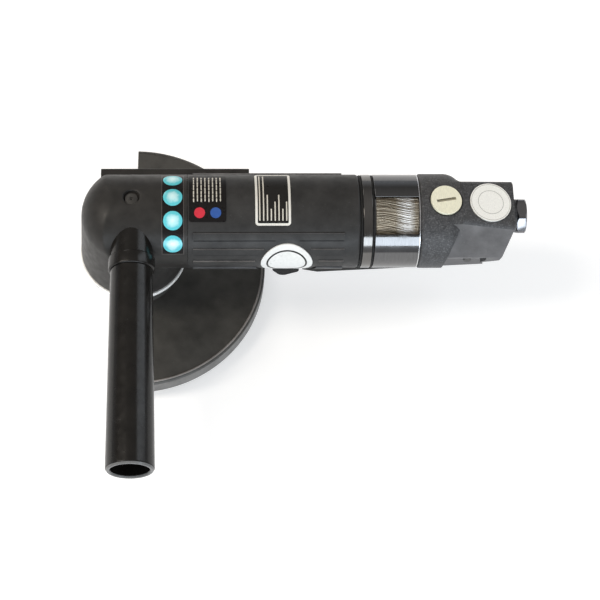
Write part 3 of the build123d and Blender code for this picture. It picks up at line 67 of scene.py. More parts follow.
NODES = frame["nodes"]
RECORD = frame["record"]
BODY_OF = {node: body for body, nodes in RECORD["behaviour"]["bodies"].items() for node in nodes}
SLOT_OF = {part["node"]: part["material_slot"] for part in RECORD["subparts"]}

# Sizes in metres, in the frame of the CAD model
MM = 0.001
AXIS_Z = 52.0 * MM  # motor axis
BODY_R = 23.7 * MM  # radius of head barrel, grip and sleeve
PLATE_R = 24.1 * MM  # outside of the plates on the grip
FILM_T = 0.06 * MM  # thickness of printed film
SINK = 0.02 * MM  # print reaches this far into what carries it

# View of the photograph
VIEW_TARGET = Vector((83.84, -44.11, 52.0)) * MM
VIEW_DISTANCE = 989.5 * MM
VIEW_AZIMUTH = -8.06
VIEW_ELEVATION = 65.31
VIEW_ROLL = 7.12
LENS_MM = 118.74
SENSOR_MM = 36.0
CLIP_START = 0.05

# Copies of CAD nodes with rounded edges: width of the rounding
SOFT_EDGES = {
    "side_rest": 0.5 * MM,
    "guard_collar": 0.3 * MM,
    "throttle_lever": 0.35 * MM,
    "lock_tab": 0.6 * MM,
    "inlet_bush": 0.25 * MM,
    "exhaust_sleeve": 0.3 * MM,
    "bearing_retainer": 0.25 * MM,
    "handle_grip": 0.25 * MM,
}

# The same for nodes with a material of their own on all or some faces
GUARD_EDGE = 0.8 * MM
GRIP_EDGE = 0.25 * MM
VALVE_EDGE = 0.6 * MM
PLUG_EDGE = 0.2 * MM
SPACER_EDGE = 0.2 * MM

# How the copies are made
ROUND_SEGMENTS = 3
ROUND_ANGLE = 28  # degrees; flatter edges stay as they are
WELD = 0.002 * MM  # points nearer than this become one
FLAT_ANGLE = 0.3  # degrees; faces that meet at less than this become one
HEAD_VOXEL = 0.5 * MM  # grid on which the head is blended
HEAD_ROUNDS = 14  # rounds of smoothing

# Wire roll of the silencer
WIRE_START = 122.15 * MM
WIRE_END = 143.65 * MM
WIRE_COUNT = 170
WIRE_R = 0.42 * MM
WIRE_LAY_R = 21.1 * MM
WIRE_SWEEP = 9.0  # degrees that a wire wanders round the roll
WIRE_CROWN = 0.16 * MM  # the roll is thicker by this in its middle
WIRE_WAVE = 0.1 * MM  # single wires rise and fall by this
WIRE_INSET = 0.05 * MM  # wires stop this far inside the core's ends
CORE_R = 20.7 * MM
CORE_BORE_R = 15.05 * MM

# Labels: angles in degrees about the motor axis, from +Z towards -Y
DOT_ANGLES = (-33.2, -3.7, 25.9, 55.4)
LABEL_ANGLES = (-43.3, 27.6)
PLATE_ANGLES = (-47.5, 32.0)
BADGE_ANGLE = 88.0
TOP_SLOPE = math.radians(7.4)  # top of the valve housing falls this much to the rear
TOP_NORMAL = Vector((math.sin(TOP_SLOPE), 0, math.cos(TOP_SLOPE)))

# Faces and places that take painted highlight or shade
RIB_EDGES = (49.9, 70.9, 91.9, 112.9)  # lower edges of the ribs, in degrees
RIB_X = (30.8 * MM, 105.9 * MM)
RIB_BADGE_R = 16.4 * MM  # ribs stop this far from the middle of the side badge
RIB_FACING = 0.7  # least share of a rib wall's normal that points upwards round the grip
FLANK_X = 165.0 * MM  # flat flanks of the valve housing begin here
FLANK_FACING = 0.85  # least share of a flank's normal that points sideways
SKIRT_R = 60.0 * MM  # the guard's outer wall lies beyond this radius
SKIRT_LEAN = 0.2  # most that the normal of that wall may point up or down
PLUG_TOP = Vector((157.3, 0, 75.5)) * MM + 0.3 * MM * TOP_NORMAL  # middle of the valve plug's top
SLOT_DEPTHS = (0.05 * MM, 1.1 * MM)  # the plug's slot lies between these depths
SLOT_R = 5.6 * MM  # and nearer to the plug's axis than this
LEVER_SHADE_X = (150.0 * MM, 146.0 * MM)  # painted shade: where the lever's front, shaded under the sleeve, begins to darken and where it is full

# Rolled bead along the guard's edge, with a painted highlight on its near half
GUARD_TOP_Z = 1.0 * MM
BEAD_SPAN = 176.5  # degrees
BEAD_INSET = 1.5 * MM  # middle of the bead from the guard's outside
BEAD_HALF = 0.5 * MM  # half its width
BEAD_RISE = 0.25 * MM  # height above the guard
BEAD_HIGHLIGHT_Y = (-20.0 * MM, 30.0 * MM)  # painted highlight: bright up to the first place, black from the second

# Stage
FLOOR_HALF = 4.0
FLOOR_GREY = (0.7, 0.7, 0.7)
FLOOR_GLOW = 0.47  # added white that the camera and reflections see on the floor
CARD_X = (-1.0, 1.2)
CARD_Y = (-1.6, -0.21)
CARD_LIFT = 1.0 * MM  # card lies this far above the floor
CARD_GREY = (0.36, 0.36, 0.37)
PAPER_ROUGHNESS = 0.9  # floor and card
ROOM_LOW = (0.5, 0.52, 0.55)  # room light near the floor
ROOM_MIDDLE = (0.22, 0.215, 0.21)
ROOM_TOP = (0.42, 0.405, 0.39)

# Lamps: place and size in metres, watts, colour
LAMP_AIM = Vector((80.0, -20.0, 40.0)) * MM
LAMPS = {
    "front_lamp": ((0.15, -1.3, 0.32), (1.8, 0.55), 18.5, (0.82, 0.91, 1.0)),
    "key_lamp": ((-0.79, -0.02, 1.13), (0.4, 0.9), 11.5, (1.0, 0.925, 0.825)),
    "back_lamp": ((-0.43, 1.07, 0.85), (0.5, 0.5), 2.6, (1.0, 0.95, 0.88)),
    "right_lamp": ((1.06, 0.52, 0.815), (0.45, 1.0), 3.2, (0.86, 0.93, 1.0)),
}


# Material building blocks


def start_material(name):
    """New material with its shader; returns material, node tree and shader."""
    material = bpy.data.materials.new(name)
    material.use_nodes = True
    tree = material.node_tree
    return material, tree, tree.nodes["Principled BSDF"]


def coordinates(tree, stretch=(1, 1, 1)):
    """Object coordinates in metres, optionally stretched along an axis."""
    source = tree.nodes.new("ShaderNodeTexCoord")
    if stretch == (1, 1, 1):
        return source.outputs["Object"]
    mapping = tree.nodes.new("ShaderNodeMapping")
    mapping.inputs["Scale"].default_value = stretch
    tree.links.new(source.outputs["Object"], mapping.inputs["Vector"])
    return mapping.outputs["Vector"]


def noise(tree, size, detail=3.0, rough=0.55, stretch=(1, 1, 1)):
    """Noise whose features are about the given size in metres."""
    node = tree.nodes.new("ShaderNodeTexNoise")
    node.inputs["Scale"].default_value = 1.0 / size
    node.inputs["Detail"].default_value = detail
    node.inputs["Roughness"].default_value = rough
    tree.links.new(coordinates(tree, stretch), node.inputs["Vector"])
    return node.outputs["Fac"]


def ramp(tree, factor, stops):
    """Colour ramp over a factor; each stop is (place, grey or colour)."""
    node = tree.nodes.new("ShaderNodeValToRGB")
    elements = node.color_ramp.elements
    while len(elements) < len(stops):
        elements.new(0.5)
    for element, (place, value) in zip(elements, stops):
        element.position = place
        colour = value if isinstance(value, tuple) else (value, value, value)
        element.color = (*colour, 1)
    tree.links.new(factor, node.inputs["Fac"])
    return node.outputs["Color"]


def between(tree, factor, ends):
    """Ramp from one grey or colour to another over the middle of a noise's range."""
    low, high = ends
    return ramp(tree, factor, [(0.3, low), (0.7, high)])


def mottled(tree, size, ends, detail=3.0, rough=0.55, stretch=(1, 1, 1)):
    """Noise of a given size in metres that wanders between two greys or colours."""
    return between(tree, noise(tree, size, detail, rough, stretch), ends)


def bump(tree, height, depth, below=None):
    """Bump of a given depth in metres; may sit on top of another bump."""
    node = tree.nodes.new("ShaderNodeBump")
    node.inputs["Strength"].default_value = 1.0
    node.inputs["Distance"].default_value = depth
    tree.links.new(height, node.inputs["Height"])
    if below is not None:
        tree.links.new(below, node.inputs["Normal"])
    return node.outputs["Normal"]


def mix_colour(tree, factor, first, second):
    """Mix of two colour sockets by a factor socket."""
    node = tree.nodes.new("ShaderNodeMix")
    node.data_type = "RGBA"
    tree.links.new(factor, node.inputs["Factor"])
    tree.links.new(first, node.inputs["A"])
    tree.links.new(second, node.inputs["B"])
    return node.outputs["Result"]


def combine(tree, operation, first, second):
    """Math node of a socket and another socket or a plain number."""
    node = tree.nodes.new("ShaderNodeMath")
    node.operation = operation
    tree.links.new(first, node.inputs[0])
    if isinstance(second, float):
        node.inputs[1].default_value = second
    else:
        tree.links.new(second, node.inputs[1])
    return node.outputs["Value"]


def share_along(tree, axis, start, full):
    """Share that goes from 0 to 1 between two places along an axis, in metres."""
    split = tree.nodes.new("ShaderNodeSeparateXYZ")
    tree.links.new(coordinates(tree), split.inputs["Vector"])
    share = tree.nodes.new("ShaderNodeMapRange")
    share.inputs["From Min"].default_value = start
    share.inputs["From Max"].default_value = full
    tree.links.new(split.outputs[axis], share.inputs["Value"])
    return share.outputs["Result"]


def shades(colour, low, high):
    """Darker and lighter version of a colour."""
    return tuple(c * low for c in colour), tuple(c * high for c in colour)


def dress(tree, shader, colour, rough, normal=None):
    """Link colour, roughness and normal to the shader."""
    tree.links.new(colour, shader.inputs["Base Color"])
    tree.links.new(rough, shader.inputs["Roughness"])
    if normal is not None:
        tree.links.new(normal, shader.inputs["Normal"])


# Kinds of material


def paint(name, colour, roughness, grain, depth, speckle=0.0, shine=0.2):
    """Paint: mottled colour, uneven gloss, fine grain and a few pale specks of dust or wear."""
    material, tree, shader = start_material(name)
    shader.inputs["Specular IOR Level"].default_value = shine
    base = mottled(tree, 9 * MM, shades(colour, 0.75, 1.3), detail=4)
    if speckle > 0:
        dust = noise(tree, 1.1 * MM, detail=5, rough=0.7)
        specks = ramp(tree, dust, [(0.62, 0.0), (0.72, speckle)])
        base = mix_colour(tree, specks, base, mottled(tree, 3 * MM, shades(colour, 3, 5)))
    rough = mottled(tree, 4 * MM, (roughness - 0.06, roughness + 0.08), detail=5)
    dress(tree, shader, base, rough, bump(tree, noise(tree, grain), depth))
    return material


def metal(name, colour, roughness, line=0.4 * MM, stretch=(1, 1, 1), depth=0.004 * MM, bare=1.0):
    """Metal with fine tool marks along the stretched direction; a low bare share looks lacquered."""
    material, tree, shader = start_material(name)
    shader.inputs["Metallic"].default_value = bare
    marks = noise(tree, line, detail=4, rough=0.6, stretch=stretch)
    base = between(tree, marks, shades(colour, 0.86, 1.08))
    rough = mottled(tree, 5 * MM, (max(0.05, roughness - 0.05), roughness + 0.07), detail=4)
    dress(tree, shader, base, rough, bump(tree, marks, depth))
    return material


def film(name, colour, roughness=0.32, shine=0.5):
    """Printed film: nearly even colour with faint print mottling and a soft gloss."""
    material, tree, shader = start_material(name)
    shader.inputs["Specular IOR Level"].default_value = shine
    base = mottled(tree, 1.5 * MM, shades(colour, 0.94, 1.06), detail=4)
    rough = mottled(tree, 3 * MM, (roughness - 0.05, roughness + 0.05))
    dress(tree, shader, base, rough, bump(tree, noise(tree, 0.5 * MM), 0.006 * MM))
    return material


def rubber(name, colour):
    """Matt rubber with a fine moulded grain."""
    material, tree, shader = start_material(name)
    shader.inputs["Specular IOR Level"].default_value = 0.2
    base = mottled(tree, 2 * MM, shades(colour, 0.7, 1.3), detail=4)
    rough = mottled(tree, 1 * MM, (0.55, 0.75))
    dress(tree, shader, base, rough, bump(tree, noise(tree, 0.25 * MM), 0.02 * MM))
    return material


def cast(name, colour, roughness):
    """Rough casting: pitted grain of two sizes under thin paint, rubbed pale on the tops of the grain."""
    material, tree, shader = start_material(name)
    shader.inputs["Specular IOR Level"].default_value = 0.3
    painted = mottled(tree, 3 * MM, shades(colour, 0.65, 1.35), detail=6, rough=0.65)
    rubbed = mottled(tree, 2 * MM, shades(colour, 2.0, 3.2))
    tops = ramp(tree, noise(tree, 0.8 * MM, rough=0.6), [(0.5, 0.0), (0.68, 0.8)])
    base = mix_colour(tree, tops, painted, rubbed)
    rough = mottled(tree, 1.5 * MM, (roughness - 0.1, roughness + 0.12), detail=4)
    coarse = bump(tree, noise(tree, 1.1 * MM, detail=4, rough=0.6), depth=0.1 * MM)
    fine = bump(tree, noise(tree, 0.35 * MM), depth=0.04 * MM, below=coarse)
    dress(tree, shader, base, rough, fine)
    return material


def glass_dot(name, middle, edge):
    """Domed colour dot that pales towards its middle, partly its own pale print and partly a painted
    highlight of the dome; the mesh gives each point's share of the radius.
    """
    material, tree, shader = start_material(name)
    share = tree.nodes.new("ShaderNodeAttribute")
    share.attribute_name = "share"
    uneven = combine(tree, "MULTIPLY", noise(tree, 2 * MM), 0.5)
    place = combine(tree, "ADD", uneven, share.outputs["Fac"])
    halfway = tuple((a + b) / 2 for a, b in zip(middle, edge))
    base = ramp(tree, place, [(0.3, middle), (0.75, halfway), (1.0, edge)])
    dress(tree, shader, base, mottled(tree, 3 * MM, (0.1, 0.2)))
    return material


def laminate(name, colour):
    """Layered phenolic sheet."""
    material, tree, shader = start_material(name)
    base = mottled(tree, 0.3 * MM, shades(colour, 0.6, 1.3), detail=2, rough=0.5, stretch=(0.05, 1, 1))
    dress(tree, shader, base, mottled(tree, 2 * MM, (0.5, 0.65)))
    return material


def wire_wool(name, dull, bright):
    """Tarnished wire that turns bright along the rubbed crest of the roll."""
    material, tree, shader = start_material(name)
    shader.inputs["Metallic"].default_value = 1.0
    along = share_along(tree, "X", WIRE_START, WIRE_END)
    crest = ramp(tree, along, [(0.45, 0.0), (0.66, 0.85), (0.78, 0.85), (0.92, 0.0)])
    tarnish = mottled(tree, 1.6 * MM, shades(dull, 0.6, 1.3), detail=4, rough=0.6, stretch=(0.3, 1, 1))
    rubbed = mottled(tree, 0.8 * MM, shades(bright, 0.8, 1.0))
    base = mix_colour(tree, crest, tarnish, rubbed)
    dress(tree, shader, base, mottled(tree, 1 * MM, (0.26, 0.42)))
    return material


def second_colour(material, axis, start, full, colour):
    """Give a material another colour along an axis, from where it starts to where it is full."""
    tree = material.node_tree
    socket = tree.nodes["Principled BSDF"].inputs["Base Color"]
    first = socket.links[0].from_socket
    other = mottled(tree, 0.8 * MM, shades(colour, 0.8, 1.2), detail=4)
    tree.links.new(mix_colour(tree, share_along(tree, axis, start, full), first, other), socket)


# Materials: those of the record's slots, then those of details

MATERIALS = {}
ALONG_X = (0.04, 1, 1)
ROUND_X = (1, 0.06, 0.06)
ROUND_Z = (0.06, 0.06, 1)
ACROSS_Y = (1, 0.15, 1)
TURNED = 0.25 * MM  # spacing of turned tool marks
POLISHED = 0.002 * MM  # depth of tool marks on polished metal
GUARD_PAINT = (0.044, 0.0418, 0.0375)


def look(kind, slot, *values, **more):
    """Make the material of one of the record's slots."""
    MATERIALS[slot] = kind(slot, *values, **more)


look(paint, "head_paint", (0.024, 0.0225, 0.021), 0.42, grain=0.5 * MM, depth=0.014 * MM)
look(paint, "grip_black", (0.03, 0.0292, 0.0285), 0.44, grain=0.4 * MM, depth=0.016 * MM, speckle=0.25)
look(cast, "valve_casting", (0.045, 0.045, 0.0465), 0.5)
look(paint, "handle_black", (0.0095, 0.0085, 0.0075), 0.2, grain=0.8 * MM, depth=0.005 * MM, shine=0.26)
look(paint, "guard_black", GUARD_PAINT, 0.44, grain=0.6 * MM, depth=0.014 * MM, speckle=0.3, shine=0.5)
look(metal, "retainer_metal", (0.94, 0.93, 0.9), 0.3, TURNED, ROUND_Z, POLISHED, bare=0.15)
look(metal, "sleeve_metal", (0.142, 0.142, 0.145), 0.1, TURNED, ROUND_X, POLISHED)
look(metal, "screw_steel", (0.1, 0.1, 0.1), 0.35)
look(metal, "shaft_steel", (0.5, 0.5, 0.51), 0.24, 0.3 * MM, ROUND_Z)
look(metal, "bearing_steel", (0.62, 0.62, 0.63), 0.12)
look(metal, "motor_iron", (0.3, 0.3, 0.3), 0.4)
look(laminate, "vane_composite", (0.22, 0.12, 0.06))
look(rubber, "seal_rubber", (0.012, 0.012, 0.012))
look(wire_wool, "silencer_wire", dull=(0.36, 0.31, 0.24), bright=(0.82, 0.8, 0.77))
look(metal, "plug_nickel", (0.89, 0.86, 0.67), 0.36, 0.3 * MM, ACROSS_Y, bare=0.2)
look(metal, "inlet_chrome", (0.2, 0.2, 0.21), 0.12)
look(metal, "strainer_wire", (0.55, 0.53, 0.48), 0.35)
look(metal, "brass", (0.7, 0.52, 0.24), 0.25)
look(metal, "spring_steel", (0.4, 0.4, 0.41), 0.25)
look(metal, "lever_grey", (0.16, 0.16, 0.166), 0.42, 0.3 * MM, ALONG_X)
look(rubber, "tab_black", (0.011, 0.011, 0.011))
# the dots pale towards their middles: partly pale print, partly a painted highlight
look(glass_dot, "dot_turquoise", middle=(0.68, 0.92, 0.93), edge=(0.11, 0.55, 0.62))
look(metal, "plate_silver", (0.8, 0.78, 0.72), 0.35, 0.3 * MM, ROUND_X, bare=0.2)
look(film, "label_black", (0.009, 0.008, 0.008), 0.3, shine=0.15)
look(film, "badge_white", (0.72, 0.71, 0.68))
look(metal, "badge_silver", (0.93, 0.92, 0.87), 0.34, bare=0.2)

FILM_RED = film("film_red", (0.55, 0.02, 0.04))
FILM_BLUE = film("film_blue", (0.02, 0.08, 0.3))
FILM_PALE = film("film_pale", (0.6, 0.57, 0.5))
FILM_DARK = film("film_dark", (0.014, 0.013, 0.012), shine=0.2)
FILM_GREY = film("film_grey", (0.09, 0.08, 0.075))
FILM_SILVER = film("film_silver", (0.42, 0.41, 0.38))
RING_METAL = metal("ring_metal", (0.156, 0.151, 0.146), 0.12, TURNED, ROUND_X, POLISHED)
LIP_METAL = metal("lip_metal", (0.72, 0.72, 0.73), 0.25, TURNED, ROUND_X, POLISHED)
NIPPLE_METAL = metal("nipple_metal", (0.037, 0.035, 0.0325), 0.5, bare=0.2)
# painted shade in the slot of the valve plug
SLOT_SHADE = metal("painted_slot_shade", (0.4, 0.37, 0.27), 0.5, bare=0.2)
# painted shade for the corner under each rib of the grip
RIB_SHADE = paint("painted_rib_shade", (0.009, 0.009, 0.009), 0.6, grain=0.4 * MM, depth=0.01 * MM)
# painted highlight on the upper walls of the ribs, with a few pale specks
RIB_HIGHLIGHT = paint("painted_rib_highlight", (0.17, 0.17, 0.175), 0.4, grain=0.4 * MM, depth=0.01 * MM, speckle=0.3)
# painted light: the flat flanks of the valve housing are coloured lighter for the light they catch; their
# paint is also smoother
FLANK_LIGHT = paint("painted_flank_light", (0.1, 0.097, 0.098), 0.46, grain=0.5 * MM, depth=0.02 * MM,
                       speckle=0.2, shine=0.3)
# painted light and highlight on the guard's outer wall and rounded edges, with a few pale specks
GUARD_SKIRT_LIGHT = paint("painted_guard_light", (0.1, 0.096, 0.09), 0.4, grain=0.6 * MM, depth=0.01 * MM,
                     speckle=0.3, shine=0.5)
# painted highlight on the guard's bead
BEAD_HIGHLIGHT = paint("guard_bead", (0.24, 0.222, 0.21), 0.32, grain=0.6 * MM, depth=0.01 * MM,
                   speckle=0.3, shine=0.5)

# The handle's pale end: where it begins and where it is full
HANDLE_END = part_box("handle_grip")[0][1]
HANDLE_RIM_Y = (HANDLE_END + 1 * MM, HANDLE_END + 0.8 * MM)
second_colour(MATERIALS["handle_black"], "Y", *HANDLE_RIM_Y, (0.13, 0.127, 0.123))
# painted shade on the lever's front, under the sleeve
second_colour(MATERIALS["lever_grey"], "X", *LEVER_SHADE_X, (0.02, 0.02, 0.02))
# the bead's painted highlight fades into the guard's paint towards the back
second_colour(BEAD_HIGHLIGHT, "Y", *BEAD_HIGHLIGHT_Y, GUARD_PAINT)


# Mesh building blocks


def around(x, angle, radius):
    """Point about the motor axis; the angle runs from +Z towards -Y, in degrees."""
    turn = math.radians(angle)
    return Vector((x, -radius * math.sin(turn), AXIS_Z + radius * math.cos(turn)))


def bridge(first, second, count):
    """Faces between two rings of points that start at the given places in a list."""
    neighbours = [(k, (k + 1) % count) for k in range(count)]
    return [(first + a, second + a, second + b, first + b) for a, b in neighbours]


def closed_loop(rows, count):
    """Faces of a loop of rings of points that closes on itself."""
    faces = []
    for row in range(rows):
        faces += bridge(count * row, count * ((row + 1) % rows), count)
    return faces


def open_tube(start, rows, count):
    """Faces of a tube of rings of points that starts at a place in a list, with both ends closed."""
    last = start + (rows - 1) * count
    faces = [tuple(range(start, start + count)), tuple(reversed(range(last, last + count)))]
    for row in range(rows - 1):
        faces += bridge(start + row * count, start + (row + 1) * count, count)
    return faces


def lathe(profile, spot, segments=96):
    """Points and faces of a closed profile turned about an axis; it is given as (along, radius).

    The function spot gives the point for a place along the axis, an angle in degrees and a radius."""
    angles = [360 * i / segments for i in range(segments)]
    points = [spot(along, angle, radius) for angle in angles for along, radius in profile]
    return points, closed_loop(segments, len(profile))


def mesh_of(name, points, faces, sharp=None):
    """Mesh with its normals outwards: smooth but for edges sharper than an angle in degrees, or flat."""
    mesh = bpy.data.meshes.new(name)
    mesh.from_pydata([tuple(p) for p in points], [], faces)
    form = bmesh.new()
    form.from_mesh(mesh)
    bmesh.ops.recalc_face_normals(form, faces=form.faces)
    form.to_mesh(mesh)
    form.free()
    if sharp is not None:
        mesh.shade_smooth()
        mesh.set_sharp_from_angle(angle=math.radians(sharp))
    return mesh


def add_piece(name, mesh, body, slot, *nodes, material=None):
    """Put a mesh into the scene as a piece that rides on a body and may stand for CAD nodes."""
    piece = bpy.data.objects.new(name, mesh)
    bpy.context.scene.collection.objects.link(piece)
    mesh.materials.clear()
    mesh.materials.append(material or MATERIALS[slot])
    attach(piece, body)
    if nodes:
        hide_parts(*nodes)
    return piece


def softened(node, width, material=None, second=None, chosen=None, rubbed=False):
    """Copy of a CAD node with rounded edges, which stands for the node.

    The chosen faces take the second material, and with rubbed set the rounded edges take it too; on the
    guard that is painted light."""
    mesh = NODES[node].data.copy()
    mesh.name = node + "_soft"
    form = bmesh.new()
    form.from_mesh(mesh)
    bmesh.ops.remove_doubles(form, verts=form.verts, dist=WELD)
    flat = math.radians(FLAT_ANGLE)
    bmesh.ops.dissolve_limit(form, angle_limit=flat, verts=form.verts, edges=form.edges)
    form.to_mesh(mesh)
    form.free()
    if "custom_normal" in mesh.attributes:
        mesh.attributes.remove(mesh.attributes["custom_normal"])
    mesh.shade_smooth()
    piece = add_piece(node + "_soft", mesh, BODY_OF[node], SLOT_OF[node], node, material=material)
    if second is not None:
        mesh.materials.append(second)
        for face in mesh.polygons:
            face.material_index = int(chosen(face.center, face.normal))
    rounding = piece.modifiers.new("rounding", "BEVEL")
    rounding.width = width
    rounding.segments = ROUND_SEGMENTS
    rounding.limit_method = "ANGLE"
    rounding.angle_limit = math.radians(ROUND_ANGLE)
    rounding.harden_normals = True
    if rubbed:
        rounding.material = 1
    return piece


def blended(node, voxel, rounds, joint_x):
    """Copy of a CAD node whose faces run into each other as on a casting, which stands for the node.

    The edge at the joint with the next housing stays as it is."""
    rough = bpy.data.objects.new("rough", NODES[node].data.copy())
    bpy.context.scene.collection.objects.link(rough)
    grid = rough.modifiers.new("grid", "REMESH")
    grid.mode = "VOXEL"
    grid.voxel_size = voxel
    mesh = bpy.data.meshes.new_from_object(rough.evaluated_get(bpy.context.evaluated_depsgraph_get()))
    bpy.data.objects.remove(rough)
    mesh.name = node + "_soft"
    mesh.shade_smooth()
    piece = add_piece(node + "_soft", mesh, BODY_OF[node], SLOT_OF[node], node)
    free = piece.vertex_groups.new(name="free")
    free.add([v.index for v in mesh.vertices if v.co.x < joint_x - 2 * voxel], 1.0, "REPLACE")
    blend = piece.modifiers.new("blend", "SMOOTH")
    blend.iterations = rounds
    blend.vertex_group = free.name
    return piece


# Faces that take painted highlight or shade, chosen by their middle and normal


def rib_wall(middle, normal):
    """Whether a face of the grip is the upper wall of a rib, which takes a painted highlight."""
    radial = Vector((0, middle.y, middle.z - AXIS_Z))
    if radial.length < BODY_R - 0.1 * MM:
        return False
    upwards = radial.normalized().cross(Vector((1, 0, 0)))
    if middle.y > 0:
        upwards = -upwards
    return normal.dot(upwards) > RIB_FACING


def valve_flank(middle, normal):
    """Whether a face of the valve housing belongs to the flat flanks of its rear part, which are painted
    lighter.
    """
    return middle.x > FLANK_X and abs(normal.y) > FLANK_FACING


def plug_slot(middle, normal):
    """Whether a face of the valve plug lies in its slot, which takes painted shade."""
    depth = (PLUG_TOP - middle).dot(TOP_NORMAL)
    aside = (PLUG_TOP - middle).cross(TOP_NORMAL).length
    return SLOT_DEPTHS[0] < depth < SLOT_DEPTHS[1] and aside < SLOT_R


def guard_skirt(middle, normal):
    """Whether a face of the guard is on its upright outer wall, which takes painted light."""
    outwards = Vector((middle.x, middle.y, 0))
    return abs(normal.z) < SKIRT_LEAN and outwards.length > SKIRT_R and normal.dot(outwards) > 0


# Print and plates that follow the body


def wrapped_bars(name, bars, inside, outside, material, slot):
    """Bars wrapped about the motor axis in one mesh; each bar is (x0, x1, start, end)."""
    degrees_per_step = 3
    points = []
    faces = []
    for x0, x1, start, end in bars:
        rows = max(2, int(abs(end - start) / degrees_per_step) + 2)
        faces += open_tube(len(points), rows, 4)
        for row in range(rows):
            angle = start + (end - start) * row / (rows - 1)
            points += [around(x0, angle, inside), around(x1, angle, inside)]
            points += [around(x1, angle, outside), around(x0, angle, outside)]
    return add_piece(name, mesh_of(name, points, faces), "housing", slot, material=material)


def wrapped_frame(name, x0, x1, start, end, line, inside, outside, material, slot):
    """Thin rectangular outline wrapped about the motor axis."""
    margin = math.degrees(line / outside)
    bars = [
        (x0, x0 + line, start, end),
        (x1 - line, x1, start, end),
        (x0 + line, x1 - line, start, start + margin),
        (x0 + line, x1 - line, end - margin, end),
    ]
    return wrapped_bars(name, bars, inside, outside, material, slot)


def wrapped_panel(name, x0, x1, start, end, corner, inside, outside, material, slot, *nodes):
    """Plate with rounded corners wrapped about the motor axis."""
    steps = 6
    rows = 28
    edge = []
    for i in range(steps + 1):
        turn = math.pi / 2 * i / steps
        edge.append((corner * (1 - math.cos(turn)), corner * (1 - math.sin(turn))))
    columns = [(x0 + along, inset) for along, inset in edge]
    columns += [(x1 - along, inset) for along, inset in reversed(edge)]
    points = []
    for x, inset in columns:
        margin = math.degrees(inset / outside)
        for j in range(rows):
            angle = start + margin + (end - start - 2 * margin) * j / (rows - 1)
            points += [around(x, angle, inside), around(x, angle, outside)]
    faces = []
    for i in range(len(columns) - 1):
        for j in range(rows - 1):
            a = 2 * (i * rows + j)
            b = a + 2 * rows
            faces += [(a, a + 2, b + 2, b), (a + 1, b + 1, b + 3, a + 3)]
    last = len(columns) - 1
    rim = list(range(rows))
    rim += [i * rows + rows - 1 for i in range(1, last + 1)]
    rim += [last * rows + j for j in range(rows - 2, -1, -1)]
    rim += [i * rows for i in range(last - 1, 0, -1)]
    for a, b in zip(rim, rim[1:] + rim[:1]):
        faces.append((2 * a, 2 * b, 2 * b + 1, 2 * a + 1))
    mesh = mesh_of(name, points, faces, sharp=40)
    return add_piece(name, mesh, "housing", slot, *nodes, material=material)


def wrapped_ring(name, x, angle, inner, outer, low, high, material, slot):
    """Flat ring laid on the cylinder about the motor axis."""
    segments = 72
    points = []
    for i in range(segments):
        turn = 2 * math.pi * i / segments
        for radius, height in ((inner, low), (outer, low), (outer, high), (inner, high)):
            arc = math.degrees(radius * math.sin(turn) / low)
            points.append(around(x + radius * math.cos(turn), angle + arc, height))
    mesh = mesh_of(name, points, closed_loop(segments, 4))
    return add_piece(name, mesh, "housing", slot, material=material)


def flat_ring(name, centre, normal, inner, outer, material, slot):
    """Thin flat ring of print round a point on a face."""
    segments = 72
    side = Vector((0, 1, 0))
    along = side.cross(normal)
    points = []
    for i in range(segments):
        turn = 2 * math.pi * i / segments
        spoke = math.cos(turn) * along + math.sin(turn) * side
        for radius, height in ((inner, -SINK), (outer, -SINK), (outer, FILM_T), (inner, FILM_T)):
            points.append(centre + radius * spoke + height * normal)
    mesh = mesh_of(name, points, closed_loop(segments, 4))
    return add_piece(name, mesh, "housing", slot, material=material)


# Labels and badges


def domed_dots():
    """Four slightly domed colour dots on a black strip with a faint outline."""
    low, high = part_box("dots")
    middle = (low[0] + high[0]) / 2
    radius = (high[0] - low[0]) / 2
    wall = 0.3 * MM
    rise = 0.34 * MM
    segments = 56
    steps = 8
    shares = [i / steps for i in range(steps, 0, -1)]
    profile = [(1.0, 0.0)] + [(share, wall + rise * (1 - share ** 2)) for share in shares]
    points = []
    faces = []
    for angle in DOT_ANGLES:
        faces += open_tube(len(points), len(profile), segments)
        for share, height in profile:
            for j in range(segments):
                turn = 2 * math.pi * j / segments
                x = middle + radius * share * math.cos(turn)
                arc = math.degrees(radius * share * math.sin(turn) / BODY_R)
                points.append(around(x, angle + arc, BODY_R + height))
    mesh = mesh_of("dots_domed", points, faces, sharp=40)
    radial = mesh.attributes.new("share", "FLOAT", "POINT")
    shares_of_points = [share for _ in DOT_ANGLES for share, _ in profile for _ in range(segments)]
    radial.data.foreach_set("value", shares_of_points)
    add_piece("dots_domed", mesh, "housing", "dot_turquoise", "dots")
    dot_strip(middle, radius + 0.5 * MM)


def dot_strip(middle, half):
    """Black strip under the dots, and its outline."""
    edge = 0.22 * MM
    spare = 0.5  # degrees that the outline reaches past the strip
    start = DOT_ANGLES[0] - 13.5
    end = DOT_ANGLES[-1] + 14.5
    x0 = middle - half
    x1 = middle + half
    inside = BODY_R - 0.05 * MM
    strip_top = BODY_R + 0.09 * MM
    edge_top = BODY_R + 0.1 * MM
    black = MATERIALS["label_black"]
    wrapped_bars("dot_strip", [(x0, x1, start, end)], inside, strip_top, black, "label_black")
    wrapped_frame("dot_strip_edge", x0 - edge, x1 + edge, start - spare, end + spare, edge,
                  inside, edge_top, FILM_GREY, "label_black")


